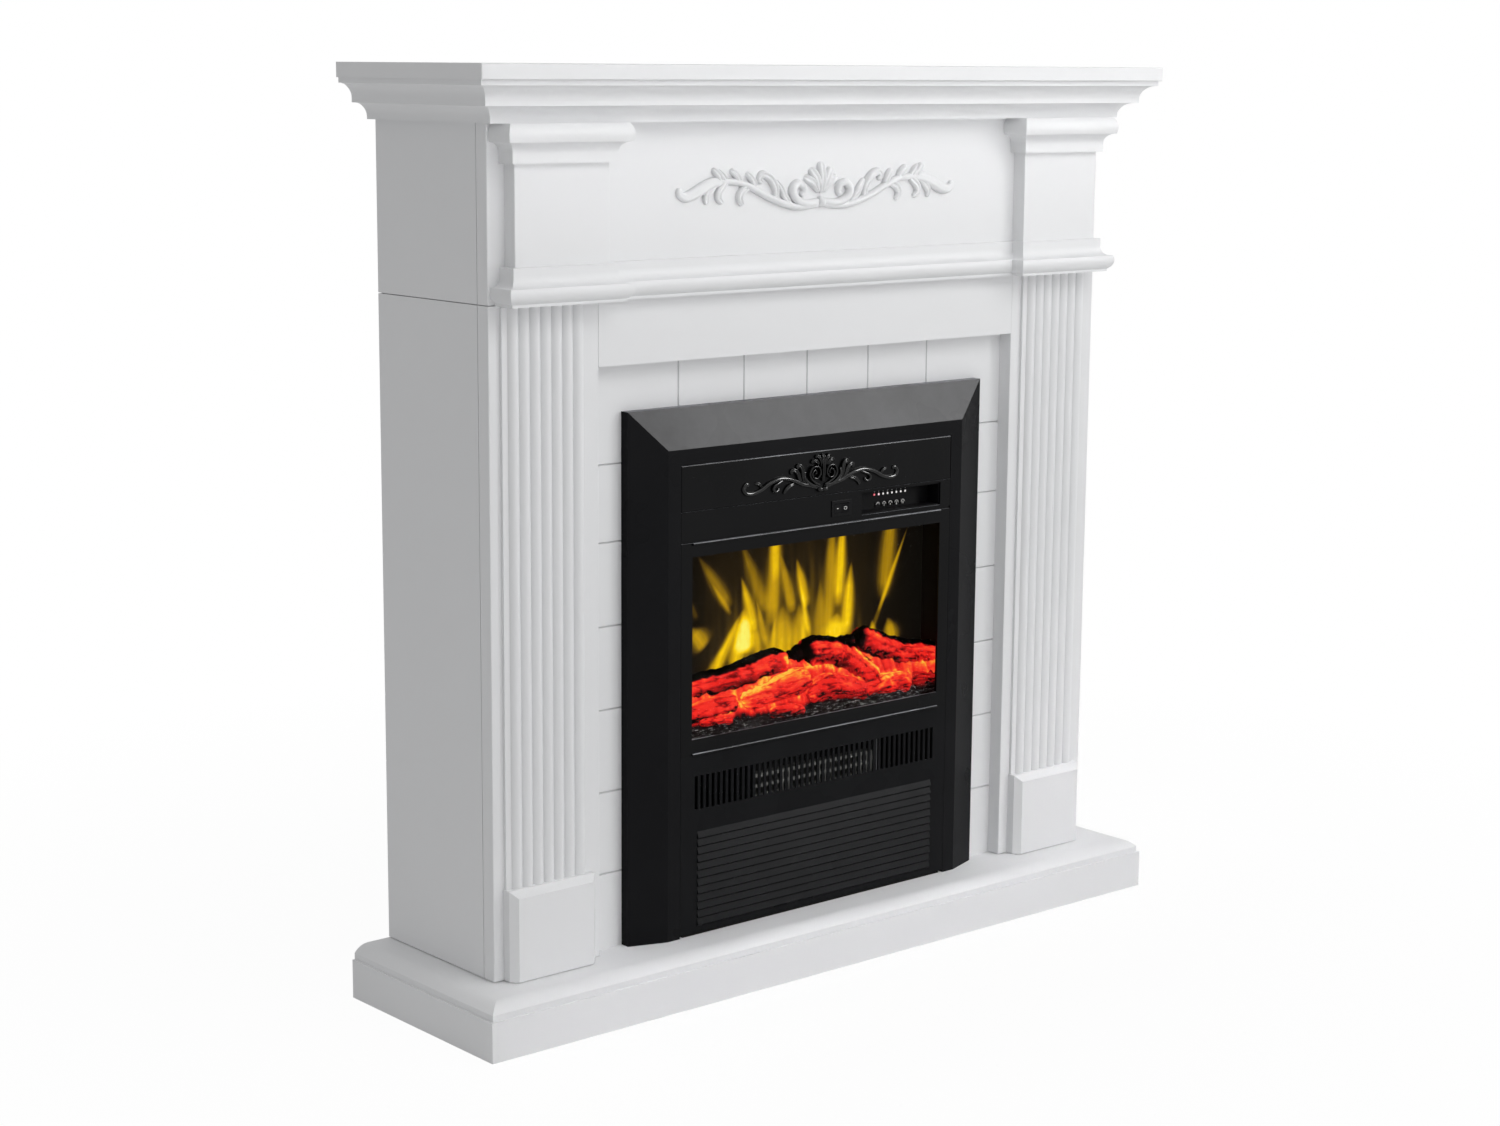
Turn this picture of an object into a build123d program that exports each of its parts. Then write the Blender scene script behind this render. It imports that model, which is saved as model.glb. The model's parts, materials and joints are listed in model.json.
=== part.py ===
"""Electric fireplace: a white mantel surround with a black electric insert.

Millimetres, +Z up, front towards -Y, origin under the middle of the hearth.
"""
from build123d import *
import math
import os

# Overall sizes of the surround
body_width = 905.0
body_depth = 203.0
lower_height = 780.0
frieze_height = 228.0
shelf_side_overhang = 47.5
shelf_front_overhang = 61.0
shelf_thickness = 16.0
hearth_side_overhang = 48.5
hearth_front_overhang = 65.0
hearth_height = 60.0
leg_width = 141.5
header_height = 71.0
board = 18.0
edge_round = 1.2
joint_gap = 1.0
joint_depth = 4.0

# Hearth edge
hearth_top_board = 16.0
hearth_step = 3.0
hearth_round_depth = 18.0
hearth_round_height = 9.0

# Crown moulding: projections from the side boards and heights above its underside
crown_bottom_projection = 10.5
crown_lower_lip = 2.0
crown_lower_cove = 15.5
crown_middle_step = 3.0
crown_middle_lip = 4.5
crown_upper_cove = 16.0
crown_top_lip = 5.5
crown_front_packing = 11.5

# Pilaster blocks, capitals and architrave
block_width = 121.5
block_inset = 21.5
block_thickness = 18.0
capital_height = 40.5
capital_fillet_projection = 6.5
capital_fillet_height = 10.5
capital_cove_rise = 11.0
capital_nose_projection = 19.0
capital_top_projection = 15.0
architrave_height = 39.5
architrave_foot_projection = 13.0
architrave_foot_lip = 3.0
architrave_nose_projection = 19.0
architrave_nose_height = 12.0
architrave_shoulder_height = 19.0
architrave_fillet_projection = 6.5
architrave_fillet_height = 8.5

# Legs
reed_count = 7
reed_pitch = 13.9
reed_rise = 4.5
reed_base = 3.5
reed_margin = 7.0
reed_top_gap = 1.5
plinth_width = 114.0
plinth_height = 101.0
plinth_thickness = 18.0
plinth_chamfer = 7.5
leg_panel_centre_inset = 70.0

# Tile panel behind the opening
tile_panel_thickness = 8.0
tile_groove_width = 2.4
tile_groove_depth = 3.2
tile_first_course = 86.0
tile_course = 92.5
tile_course_count = 5
tile_soldier_height = 541.0
tile_soldier_pitch = 94.0
tile_soldier_grooves = 5

# Rail behind the legs
back_rail_height = 80.0

# Ornament on the frieze. Each stroke of its right half has points along its middle (across, up), taken
# three at a time as arcs, then its width at the start, halfway and at the end
arc_points = 3
frieze_ornament_thickness = 6.0
frieze_ornament_drop = 115.0
frieze_strokes = [
    ([(0, -20), (38, -23), (74, -13), (112, 2), (150, 6)], (8, 7, 7)),
    ([(146, 6), (172, 0), (186, -10), (196, -11), (198, -2)], (7, 8, 4)),
    ([(143, 6), (148, 13), (157, 20)], (8, 7, 3)),
    ([(118, 4), (122, 12), (132, 18)], (8, 7, 3)),
    ([(96, -3), (100, 7), (108, 15)], (8, 7, 3)),
    ([(68, -15), (72, 3), (90, 11)], (6, 7, 6)),
    ([(104, 0), (118, -5), (117, -18)], (5, 9, 3)),
    ([(140, 5), (149, -6), (143, -16)], (5, 8, 3)),
    ([(154, 4), (163, -6), (166, -17)], (5, 8, 3)),
    ([(4, -18), (32, -20), (46, -6), (34, 5), (20, -2)], (6, 7, 6)),
    ([(4, -6), (18, 7), (38, 12)], (6, 8, 4)),
    ([(3, -8), (14, 8), (23, 17)], (5, 9, 6)),
    ([(1, -8), (6, 9), (10, 22)], (5, 10, 6)),
]

# Insert: trim frame and fascia
frame_width = 534.0
frame_height = 597.0
frame_bevel = 44.0
frame_flat = 17.6
frame_return = 11.5
frame_lip = 8.0
insert_projection = 27.0
sheet = 1.5
plate = 2.0
fit_gap = 0.4
ornament_panel_height = 52.0
control_row_height = 35.0
window_height = 240.0
window_jamb = 16.0
window_top_rail = 15.7
window_bottom_rail = 18.6
window_lip = 2.5
window_lip_depth = 2.0
window_lip_round = 1.0
glass_thickness = 4.0
glass_overlap = 6.0
scroll_ornament_thickness = 5.0

# Strokes of the scroll on the ornament panel, right half, written as for the frieze
scroll_strokes = [
    ([(0, -17), (20, -16), (42, -6), (65, -1), (86, -7), (106, -13), (114, -3)], (5, 5, 3)),
    ([(1, -13), (16, -10), (24, -1), (15, 6), (7, -2)], (4, 4, 4)),
    ([(18, -13), (33, -2), (45, 7)], (4, 5, 3)),
    ([(28, -6), (34, 3), (32, 12)], (4, 5, 2)),
    ([(60, -3), (53, -11), (44, -11)], (3, 4, 3)),
    ([(76, -4), (74, -13), (67, -14)], (3, 4, 3)),
    ([(1, -14), (4, 4), (10, 14)], (4, 5, 4)),
    ([(0, -18), (1, 2), (0, 18)], (4, 5, 5)),
]

# Lower panel: slotted outlet and ribs
slot_count = 46
slot_width = 4.4
slot_height = 38.5
slot_side_margin = 4.5
slot_drop = 24.0
rib_side_margin = 8.0
rib_low_margin = 6.5
rib_drop = 88.0
rib_pitch = 9.2
rib_depth = 2.6
rib_crest = 2.3
lower_panel_lift = 3.0

# Controls
strip_groove = 3.0
strip_groove_depth = 1.2
recess_left = 62.5
recess_margin = 2.5
recess_depth = 20.0
tray_wall = 1.5
button_count = 5
button_pitch = 10.0
button_width = 7.6
button_height = 5.6
button_stem = 8.0
button_proud = 1.2
button_clearance = 0.3
button_row_offset = -6.0
button_collar = 1.0
lens_count = 8
lens_pitch = 7.1
lens_radius = 1.4
lens_row_offset = 6.0
board_standoff = 6.0
circuit_board = 1.6
standoff_radius = 2.5
standoff_inset = 6.0
rocker_centre = 30.5
rocker_width = 22.0
rocker_height = 10.0
rocker_bezel = 2.5
rocker_bezel_thickness = 1.2
rocker_depth = 16.0
rocker_wall = 1.4
rocker_clearance = 0.4
rocker_tilt = 7.0
rocker_pin_radius = 1.0
rocker_pin_length = 1.0
rocker_pin_depth = 5.0
pin_clearance = 0.05

# Firebox
neck_side_gap = 5.4
neck_depth = 10.0
case_frame_lap = 27.0
case_top_gap = 5.4
case_depth = 150.0
case_sheet = 1.2
case_opening_gap = 3.0
intake_count = 12
intake_width = 5.0
intake_height = 44.0
intake_pitch = 13.0
firebox_shelf_drop = 8.4
screen_setback = 78.0
screen_thickness = 3.0
screen_top_gap = 8.0
log_bed_setback = 0.8
log_bed_depth = 60.0
log_bed_side_gap = 4.8
log_bed_height = 58.0
log_bed_front_height = 24.0
log_bed_wall = 12.0
log_bed_back_wall = 3.0
log_radius = 18.0
log_tip_radius = 15.0
log_sides = 9
lamp_end_gap = 24.0
lamp_strip_depth = 12.0
lamp_strip_thickness = 2.0
lamp_count = 10
lamp_size = 5.0
lamp_height = 2.0

# Logs: ends as shares of half the bed along it, and millimetres behind its middle and above its top
log_ends = [
    ((-0.93, 6.0, 2.0), (-0.09, 6.0, 28.0)),
    ((0.06, 8.0, 34.0), (0.62, 2.0, -4.0)),
    ((0.42, 9.0, 34.0), (0.94, 6.0, -2.0)),
    ((-0.50, -9.0, -18.0), (-0.04, -9.0, 8.0)),
    ((0.52, -11.0, -16.0), (0.10, -11.0, 10.0)),
]

# Flame spinner
spinner_lift = 40.0
rod_radius = 3.0
spinner_paddles = 12
paddle_length = 18.0
paddle_reach = 14.0
paddle_thickness = 1.0
paddle_turn = 77.0
bush_radius = 8.0
bush_length = 8.0
flame_motor_radius = 20.0
flame_motor_length = 28.0
motor_bore_depth = 12.0
shaft_clearance = 0.05
shaft_end_gap = 0.5

# Heater and blower
duct_half_width = 95.0
throat_height = 50.0
throat_length = 46.0
hanger_depth = 4.8
scroll_radius = 32.0
wheel_radius = 24.0
wheel_blades = 14
blade_thickness = 1.2
blade_depth = 7.0
blade_lean = 28.0
wheel_disc = 1.5
wheel_end_gap = 6.0
inlet_height = 34.0
blower_motor_radius = 23.0
blower_motor_length = 36.0
element_setback = 6.0
element_depth = 12.0
element_height = 28.0
element_frame = 4.0
element_bars = 1
element_bar_height = 4.0
fin_count = 19
fin_thickness = 1.2

# Mains inlet
gland_radius = 9.0
gland_bore = 4.5
gland_length = 12.0
gland_nut_radius = 12.0
gland_nut_sides = 6
gland_nut_thickness = 5.0
gland_inset = 50.0
gland_lift = 32.0

# Reference planes worked out from the sizes above
shelf_width = body_width + 2 * shelf_side_overhang
shelf_depth = body_depth + shelf_front_overhang
hearth_width = body_width + 2 * hearth_side_overhang
hearth_depth = body_depth + hearth_front_overhang
wall = hearth_depth / 2
body_side = body_width / 2
body_front = wall - body_depth
side_front = body_front + board
shelf_underside = lower_height + frieze_height
overall_height = shelf_underside + shelf_thickness
opening_side = body_side - leg_width
crown_coves = crown_lower_lip + crown_lower_cove + crown_middle_lip + crown_upper_cove
crown_underside = shelf_underside - crown_coves - crown_top_lip
block_outer = body_side - block_inset
block_inner = block_outer - block_width
block_front = body_front - block_thickness
insert_front = side_front - insert_projection
plate_back = insert_front + plate
frame_top = hearth_height + frame_height
frame_inner = frame_width / 2 - frame_bevel - frame_flat
fascia_top = frame_top - frame_bevel - frame_flat
fascia_side = frame_inner - fit_gap
window_half_width = fascia_side - window_jamb
ornament_panel_bottom = fascia_top - ornament_panel_height
window_top = ornament_panel_bottom - control_row_height
window_bottom = window_top - window_height
lower_panel_bottom = hearth_height + lower_panel_lift
strip_bottom = window_top + strip_groove
neck_side = frame_inner - neck_side_gap
neck_inner = neck_side - case_sheet
neck_back = plate_back + neck_depth
chamber_front = neck_back + case_sheet
case_side = frame_width / 2 - case_frame_lap
case_inner = case_side - case_sheet
gland_side = case_side - gland_inset
case_back = plate_back + case_depth
case_top = fascia_top - case_top_gap
shelf_plate_top = window_bottom - firebox_shelf_drop
log_bed_half = case_inner - log_bed_side_gap
log_bed_front = chamber_front + log_bed_setback
log_bed_back = log_bed_front + log_bed_depth
log_bed_middle = (log_bed_front + log_bed_back) / 2
screen_front = plate_back + screen_setback
screen_back = screen_front + screen_thickness
glass_back = plate_back + glass_thickness
recess_right = window_half_width
recess_low = strip_bottom + recess_margin
recess_high = ornament_panel_bottom - recess_margin
tray_face = insert_front + recess_depth
recess_middle = (recess_left + recess_right) / 2
control_middle = (window_top + ornament_panel_bottom) / 2
leg_panel_centre = body_side - leg_panel_centre_inset


def box(x_low, x_high, y_low, y_high, z_low, z_high):
    """Square-edged solid between two corners."""
    middle = Pos((x_low + x_high) / 2, (y_low + y_high) / 2, (z_low + z_high) / 2)
    return middle * Box(x_high - x_low, y_high - y_low, z_high - z_low)


def eased(solid, direction=Axis.Z):
    """Break the front edges that run along one direction, as sanded boards have them."""
    front = solid.faces().sort_by(Axis.Y)[0]
    edges = front.edges().filter_by(direction)
    return fillet(edges, edge_round)


def side_board(z_low, z_high):
    """Right-hand side board with a thin shadow line along its front edge and its foot."""
    x_groove = body_side - joint_depth
    rim = box(x_groove, body_side, side_front, wall, z_low, z_high)
    rim = rim - box(x_groove, body_side, side_front + joint_gap, wall, z_low + joint_gap, z_high)
    return box(body_side - board, body_side, side_front, wall, z_low, z_high) - rim


def shadow_foot(x_low, x_high, y_low, y_high, z_foot):
    """Thin ring to cut from a board's foot, so that its joint shows as a line at the front and the ends."""
    z_high = z_foot + joint_gap
    ring = box(x_low, x_high, y_low, y_high, z_foot, z_high)
    return ring - box(x_low + joint_depth, x_high - joint_depth, y_low + joint_depth, y_high, z_foot, z_high)


def framed_front(solid):
    """Break all edges round the front face of a board."""
    return fillet(solid.faces().sort_by(Axis.Y)[0].edges(), edge_round)


def plan_prism(points, z_low, z_high):
    """Upright prism on a plan outline."""
    outline = make_face(Polyline(*points, close=True))
    return Pos(0, 0, z_low) * extrude(outline, z_high - z_low)


def run_along_x(profile, y_reference, x_low, x_high):
    """Extrude a moulding profile (outward, up) along the front."""
    start = Plane(origin=(x_high, y_reference, 0), x_dir=(0, -1, 0), z_dir=(-1, 0, 0))
    return extrude(start * profile, x_high - x_low)


def run_along_y(profile, x_reference, y_low, y_high):
    """Extrude a moulding profile (outward, up) along the right-hand side."""
    start = Plane(origin=(x_reference, y_high, 0), x_dir=(1, 0, 0), z_dir=(0, -1, 0))
    return extrude(start * profile, y_high - y_low)


def other_side(solid):
    """The matching piece on the opposite side."""
    return mirror(solid, about=Plane.YZ)


def quarter_cove(low, high):
    """Hollow arc between two corners of a moulding, round the lower outside corner."""
    centre = (high[0], low[1])
    half_turn = math.sqrt(1 / 2)
    across = (high[0] - low[0], high[1] - low[1])
    middle = (centre[0] - across[0] * half_turn, centre[1] + across[1] * half_turn)
    return Spline(low, middle, high, tangents=[(0, 1), (1, 0)])


def nose(low, middle, high):
    """Rounded bulge through three points of a moulding."""
    return ThreePointArc(low, middle, high)


def crown_profile():
    """Two stepped coves under the shelf, back face at the packing depth."""
    back = -crown_front_packing
    u0 = crown_bottom_projection
    u1 = u0 + crown_lower_cove
    u2 = u1 + crown_middle_step
    u3 = u2 + crown_upper_cove
    v0 = crown_underside
    v1 = v0 + crown_lower_lip
    v2 = v1 + crown_lower_cove
    v3 = v2 + crown_middle_lip
    v4 = v3 + crown_upper_cove
    lower = Polyline((back, v0), (u0, v0), (u0, v1))
    upper = Polyline((u3, v4), (u3, shelf_underside), (back, shelf_underside), (back, v0))
    middle = Polyline((u1, v2), (u2, v2), (u2, v3))
    coves = quarter_cove((u0, v1), (u1, v2)) + quarter_cove((u2, v3), (u3, v4))
    return make_face(lower + coves + middle + upper)


def crown():
    """Crown pieces mitred at the front corners."""
    reach = crown_bottom_projection + crown_lower_cove + crown_middle_step + crown_upper_cove + board
    corner = body_front - crown_front_packing
    seat = body_side - crown_front_packing
    front_plan = [
        (-seat, body_front),
        (seat, body_front),
        (body_side + reach, corner - reach),
        (-body_side - reach, corner - reach),
    ]
    side_plan = [
        (body_side, wall),
        (body_side + reach, wall),
        (body_side + reach, corner - reach),
        (seat, body_front),
        (body_side, body_front),
    ]
    span = body_side + reach
    front_run = run_along_x(crown_profile(), corner, -span, span)
    side_run = run_along_y(crown_profile(), body_side, corner - reach, wall)
    front = front_run & plan_prism(front_plan, crown_underside, shelf_underside)
    right = side_run & plan_prism(side_plan, crown_underside, shelf_underside)
    return {"crown_front": front, "crown_right": right, "crown_left": other_side(right)}


def mantel_shelf():
    """Square-edged slab on top."""
    slab = box(-shelf_width / 2, shelf_width / 2, wall - shelf_depth, wall, shelf_underside, overall_height)
    return framed_front(slab)


def frieze_box():
    """Front board, sides and floor of the upper box."""
    front = eased(box(-body_side, body_side, body_front, side_front, lower_height, shelf_underside))
    front = front - shadow_foot(-body_side, body_side, body_front, side_front, lower_height)
    right = side_board(lower_height, shelf_underside)
    inner = body_side - board
    floor = box(-inner, inner, side_front, wall, lower_height, lower_height + board)
    return {
        "frieze_board": front,
        "frieze_side_right": right,
        "frieze_side_left": other_side(right),
        "frieze_floor": floor,
    }


def pilaster_block():
    """Plain raised block on the right-hand end of the frieze."""
    return eased(box(block_inner, block_outer, block_front, body_front, lower_height, crown_underside))


def capital_profile():
    """Fillet, cove and nose of the capital, back face on the block."""
    z0 = crown_underside - capital_height
    z1 = z0 + capital_fillet_height
    z2 = z1 + capital_cove_rise
    z3 = (z2 + crown_underside) / 2
    cove_end = capital_nose_projection - edge_round
    fillet_end = capital_fillet_projection
    lower = Polyline((0, crown_underside), (0, z0), (fillet_end, z0), (fillet_end, z1))
    cove = quarter_cove((fillet_end, z1), (cove_end, z2))
    bulge = nose((cove_end, z2), (capital_nose_projection, z3), (capital_top_projection, crown_underside))
    top = Line((capital_top_projection, crown_underside), (0, crown_underside))
    return make_face(lower + cove + bulge + top)


def architrave_profile():
    """Fillet at the top, hollow, and rounded foot of the architrave."""
    z0 = lower_height
    z1 = z0 + architrave_foot_lip
    z2 = z0 + architrave_nose_height
    z3 = z0 + architrave_shoulder_height
    z4 = z0 + architrave_height - architrave_fillet_height
    z5 = z0 + architrave_height
    shoulder = architrave_nose_projection - edge_round
    lower = Polyline((0, z5), (0, z0), (architrave_foot_projection, z0), (architrave_foot_projection, z1))
    bulge = nose((architrave_foot_projection, z1), (architrave_nose_projection, z2), (shoulder, z3))
    hollow = Spline(
        (shoulder, z3),
        (architrave_fillet_projection, z4),
        tangents=[(-1, 0), (0, 1)],
    )
    upper = Polyline((architrave_fillet_projection, z4), (architrave_fillet_projection, z5), (0, z5))
    return make_face(lower + bulge + hollow + upper)


def wrap_block(profile):
    """Moulding round three sides of the right-hand block, mitred at its corners."""
    path = Polyline(
        (block_inner, body_front, 0),
        (block_inner, block_front, 0),
        (block_outer, block_front, 0),
        (block_outer, body_front, 0),
    )
    start = Plane(origin=(block_inner, body_front, 0), x_dir=(-1, 0, 0), z_dir=(0, 1, 0))
    return sweep(start * profile, path=path, transition=Transition.RIGHT)


def architrave():
    """Architrave pieces: one round each block, one along the frieze between them."""
    reach = 2 * architrave_nose_projection
    centre_plan = [
        (-block_inner, body_front),
        (block_inner, body_front),
        (block_inner - reach, body_front - reach),
        (-block_inner + reach, body_front - reach),
    ]
    zone = plan_prism(centre_plan, lower_height, lower_height + architrave_height)
    centre = run_along_x(architrave_profile(), body_front, -block_inner, block_inner) & zone
    right = wrap_block(architrave_profile()) - zone
    return {
        "architrave_centre": centre,
        "architrave_right": right,
        "architrave_left": other_side(right),
    }


def legs():
    """Side board, front board, reeded panel and plinth block of the right-hand leg."""
    front = eased(box(opening_side, body_side, body_front, side_front, hearth_height, lower_height))
    return {
        "leg_side": side_board(hearth_height, lower_height),
        "leg_front": front - shadow_foot(opening_side, body_side, body_front, side_front, hearth_height),
        "reeded_panel": reeded_panel(),
        "plinth_block": plinth_block(),
    }


def reeded_panel():
    """Applied panel of convex reeds between flat margins."""
    half = reed_count * reed_pitch / 2
    edge = half + reed_margin
    crest = reed_base + reed_rise
    left = [(-half, reed_base), (-edge, reed_base), (-edge, 0)]
    right = [(edge, 0), (edge, reed_base), (half, reed_base)]
    outline = Polyline(*left, *right)
    for index in range(reed_count):
        start = -half + index * reed_pitch
        middle = (start + reed_pitch / 2, crest)
        outline = outline + ThreePointArc((start, reed_base), middle, (start + reed_pitch, reed_base))
    foot = hearth_height + plinth_height
    up = Plane(origin=(leg_panel_centre, body_front, foot), x_dir=(-1, 0, 0), z_dir=(0, 0, 1))
    return extrude(up * make_face(outline), lower_height - reed_top_gap - foot)


def plinth_block():
    """Plinth with its top and upright edges bevelled."""
    half = plinth_width / 2
    top = hearth_height + plinth_height
    front = body_front - plinth_thickness
    solid = box(leg_panel_centre - half, leg_panel_centre + half, front, body_front, hearth_height, top)
    edges = solid.faces().sort_by(Axis.Y)[0].edges().sort_by(Axis.Z)[1:]
    foot = shadow_foot(leg_panel_centre - half, leg_panel_centre + half, front, body_front, hearth_height)
    return chamfer(edges, plinth_chamfer) - foot


def header_board():
    """Board across the opening, flush with the legs."""
    low = lower_height - header_height
    return box(-opening_side, opening_side, body_front, side_front, low, lower_height)


def back_rail():
    """Rail tying the leg sides together at the back."""
    inner = body_side - board
    return box(-inner, inner, wall - board, wall, lower_height - back_rail_height, lower_height)


def groove_along_x(z_middle, x_low, x_high):
    """V-groove across the tile panel's face."""
    half = tile_groove_width / 2
    section = make_face(Polyline((half, 0), (-half, 0), (0, tile_groove_depth), close=True))
    start = Plane(origin=(x_low, side_front, z_middle), x_dir=(0, 0, 1), z_dir=(1, 0, 0))
    return extrude(start * mirror(section, about=Plane.XZ), x_high - x_low)


def groove_along_z(x_middle, z_low, z_high):
    """Upright V-groove in the tile panel's face."""
    half = tile_groove_width / 2
    section = make_face(Polyline((half, 0), (-half, 0), (0, tile_groove_depth), close=True))
    start = Plane(origin=(x_middle, side_front, z_low), x_dir=(1, 0, 0), z_dir=(0, 0, 1))
    return extrude(start * section, z_high - z_low)


def tile_panel():
    """Panel grooved like tiles, cut out for the insert."""
    inner = body_side - board
    panel = box(-inner, inner, side_front, side_front + tile_panel_thickness, hearth_height, lower_height)
    gap = case_opening_gap
    opening = box(
        -case_side - gap,
        case_side + gap,
        side_front,
        side_front + tile_panel_thickness,
        hearth_height,
        case_top + gap,
    )
    panel = panel - opening
    first = hearth_height + tile_first_course
    courses = [first + index * tile_course for index in range(tile_course_count)]
    courses.append(hearth_height + tile_soldier_height)
    for z_middle in courses:
        panel = panel - groove_along_x(z_middle, -opening_side, opening_side)
    soldier_middle = (tile_soldier_grooves - 1) / 2
    header_low = lower_height - header_height
    for index in range(tile_soldier_grooves):
        x_middle = (index - soldier_middle) * tile_soldier_pitch
        panel = panel - groove_along_z(x_middle, case_top + gap, header_low)
    return panel


def hearth_edge(length):
    """Section of the top board, (outward, up): its edge curves down to a small upright lip."""
    z_low = hearth_height - hearth_top_board
    z_turn = hearth_height - hearth_round_height
    turn = length - hearth_round_depth
    radius = (hearth_round_depth**2 + hearth_round_height**2) / (2 * hearth_round_height)
    arc = RadiusArc((length, z_turn), (turn, hearth_height), -radius)
    lower = Polyline((0, z_low), (length, z_low), (length, z_turn))
    upper = Polyline((turn, hearth_height), (0, hearth_height), (0, z_low))
    return make_face(lower + arc + upper)


def hearth_top():
    """Top board, rounded over at the front and both ends."""
    half = hearth_width / 2 - hearth_step
    depth = hearth_depth - hearth_step
    front = run_along_x(hearth_edge(depth), wall, -half, half)
    right = run_along_y(hearth_edge(half), 0, wall - depth, wall)
    return front & (right + other_side(right))


def hearth_fascias():
    """Mitred fascia boards under the top board."""
    half = hearth_width / 2
    front_y = wall - hearth_depth
    top = hearth_height - hearth_top_board
    front_plan = [
        (-half, front_y),
        (half, front_y),
        (half - board, front_y + board),
        (-half + board, front_y + board),
    ]
    side_plan = [(half, front_y), (half, wall), (half - board, wall), (half - board, front_y + board)]
    side = plan_prism(side_plan, 0, top)
    return {
        "hearth_front_fascia": plan_prism(front_plan, 0, top),
        "hearth_side_fascia_right": side,
        "hearth_side_fascia_left": other_side(side),
    }


def arcs_through(points):
    """Run of arcs, each through three points, the last of one being the first of the next."""
    starts = range(0, len(points) - 1, arc_points - 1)
    return Curve() + [ThreePointArc(*points[start : start + arc_points]) for start in starts]


def stroke(points, widths):
    """Flat band along a run of arcs, its width changing from start to middle to end."""
    line = [Vector(*point) for point in points]
    last = len(line) - 1
    left = []
    right = []
    for index, point in enumerate(line):
        near_end = abs(2 * index / last - 1)
        end_width = widths[0] if 2 * index < last else widths[2]
        reach = (widths[1] + (end_width - widths[1]) * near_end * near_end) / 2
        along = line[min(index + 1, last)] - line[max(index - 1, 0)]
        across = Vector(-along.Y, along.X).normalized() * reach
        left.append(point + across)
        right.append(point - across)
    ends = Line(left[-1], right[-1]) + Line(right[0], left[0])
    return make_face(arcs_through(left) + arcs_through(right) + ends)


def applied_scroll(strokes, y_face, z_middle, thickness):
    """Symmetrical ornament of joined strokes on an upright face."""
    right = Sketch() + [stroke(points, widths) for points, widths in strokes]
    outline = right + mirror(right, about=Plane.YZ)
    start = Plane(origin=(0, y_face, z_middle), x_dir=(1, 0, 0), z_dir=(0, -1, 0))
    return extrude(start * outline, thickness)


def frieze_ornament():
    """Applied scroll and shell on the frieze."""
    middle = shelf_underside - frieze_ornament_drop
    return applied_scroll(frieze_strokes, body_front, middle, frieze_ornament_thickness)


def sheet_section(points, thickness):
    """Closed section of a folded sheet, thickened to the left of its outline."""
    fold = Polyline(*points)
    return make_face(offset(fold, thickness, side=Side.LEFT, kind=Kind.INTERSECTION, closed=True))


def trim_frame():
    """Three-sided bevelled frame of folded sheet, mitred at its upper corners."""
    outer = frame_width / 2
    return_front = side_front - frame_return
    points = [
        (0, -side_front),
        (0, -return_front),
        (-frame_bevel, -insert_front),
        (-frame_bevel - frame_flat, -insert_front),
        (-frame_bevel - frame_flat, -insert_front - frame_lip),
    ]
    section = sheet_section(points, sheet)
    right = [(outer, 0, hearth_height), (outer, 0, frame_top)]
    left = [(-outer, 0, frame_top), (-outer, 0, hearth_height)]
    path = Polyline(*right, *left)
    start = Plane(origin=(outer, 0, hearth_height), x_dir=(1, 0, 0), z_dir=(0, 0, -1))
    return sweep(start * section, path=path, transition=Transition.RIGHT)


def ornament_panel():
    """Plate over the controls that carries the scroll."""
    low = ornament_panel_bottom
    return framed_front(box(-fascia_side, fascia_side, insert_front, plate_back, low, fascia_top - fit_gap))


def scroll_ornament():
    """Applied scroll on the upper plate."""
    middle = (ornament_panel_bottom + fascia_top) / 2
    return applied_scroll(scroll_strokes, insert_front, middle, scroll_ornament_thickness)


def control_strip():
    """Strip grooved along its foot, with the cut-outs for the rocker switch and the control recess."""
    strip = box(-fascia_side, fascia_side, insert_front, plate_back, window_top, ornament_panel_bottom)
    groove_back = insert_front + strip_groove_depth
    strip = strip - box(-fascia_side, fascia_side, insert_front, groove_back, window_top, strip_bottom)
    recess = box(recess_left, recess_right, insert_front, plate_back, recess_low, recess_high)
    half_width = rocker_width / 2 + rocker_clearance + rocker_wall
    half_height = rocker_height / 2 + rocker_clearance + rocker_wall
    cut_out = box(
        rocker_centre - half_width,
        rocker_centre + half_width,
        insert_front,
        plate_back,
        control_middle - half_height,
        control_middle + half_height,
    )
    return strip - recess - cut_out


def button_places():
    """Centres of the push buttons along the control tray."""
    middle = (button_count - 1) / 2
    z = control_middle + button_row_offset
    return [(recess_middle + (index - middle) * button_pitch, z) for index in range(button_count)]


def lens_places():
    """Centres of the indicator lenses."""
    middle = (lens_count - 1) / 2
    z = control_middle + lens_row_offset
    return [(recess_middle + (index - middle) * lens_pitch, z) for index in range(lens_count)]


def across_y(radius, length):
    """Cylinder lying along Y, its front end on the XZ plane."""
    return Pos(0, length / 2, 0) * Rot(90, 0, 0) * Cylinder(radius, length)


def across_x(radius, x_low, x_high):
    """Cylinder lying along X between two stations."""
    return Pos((x_low + x_high) / 2, 0, 0) * Rot(0, 90, 0) * Cylinder(radius, x_high - x_low)


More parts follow.
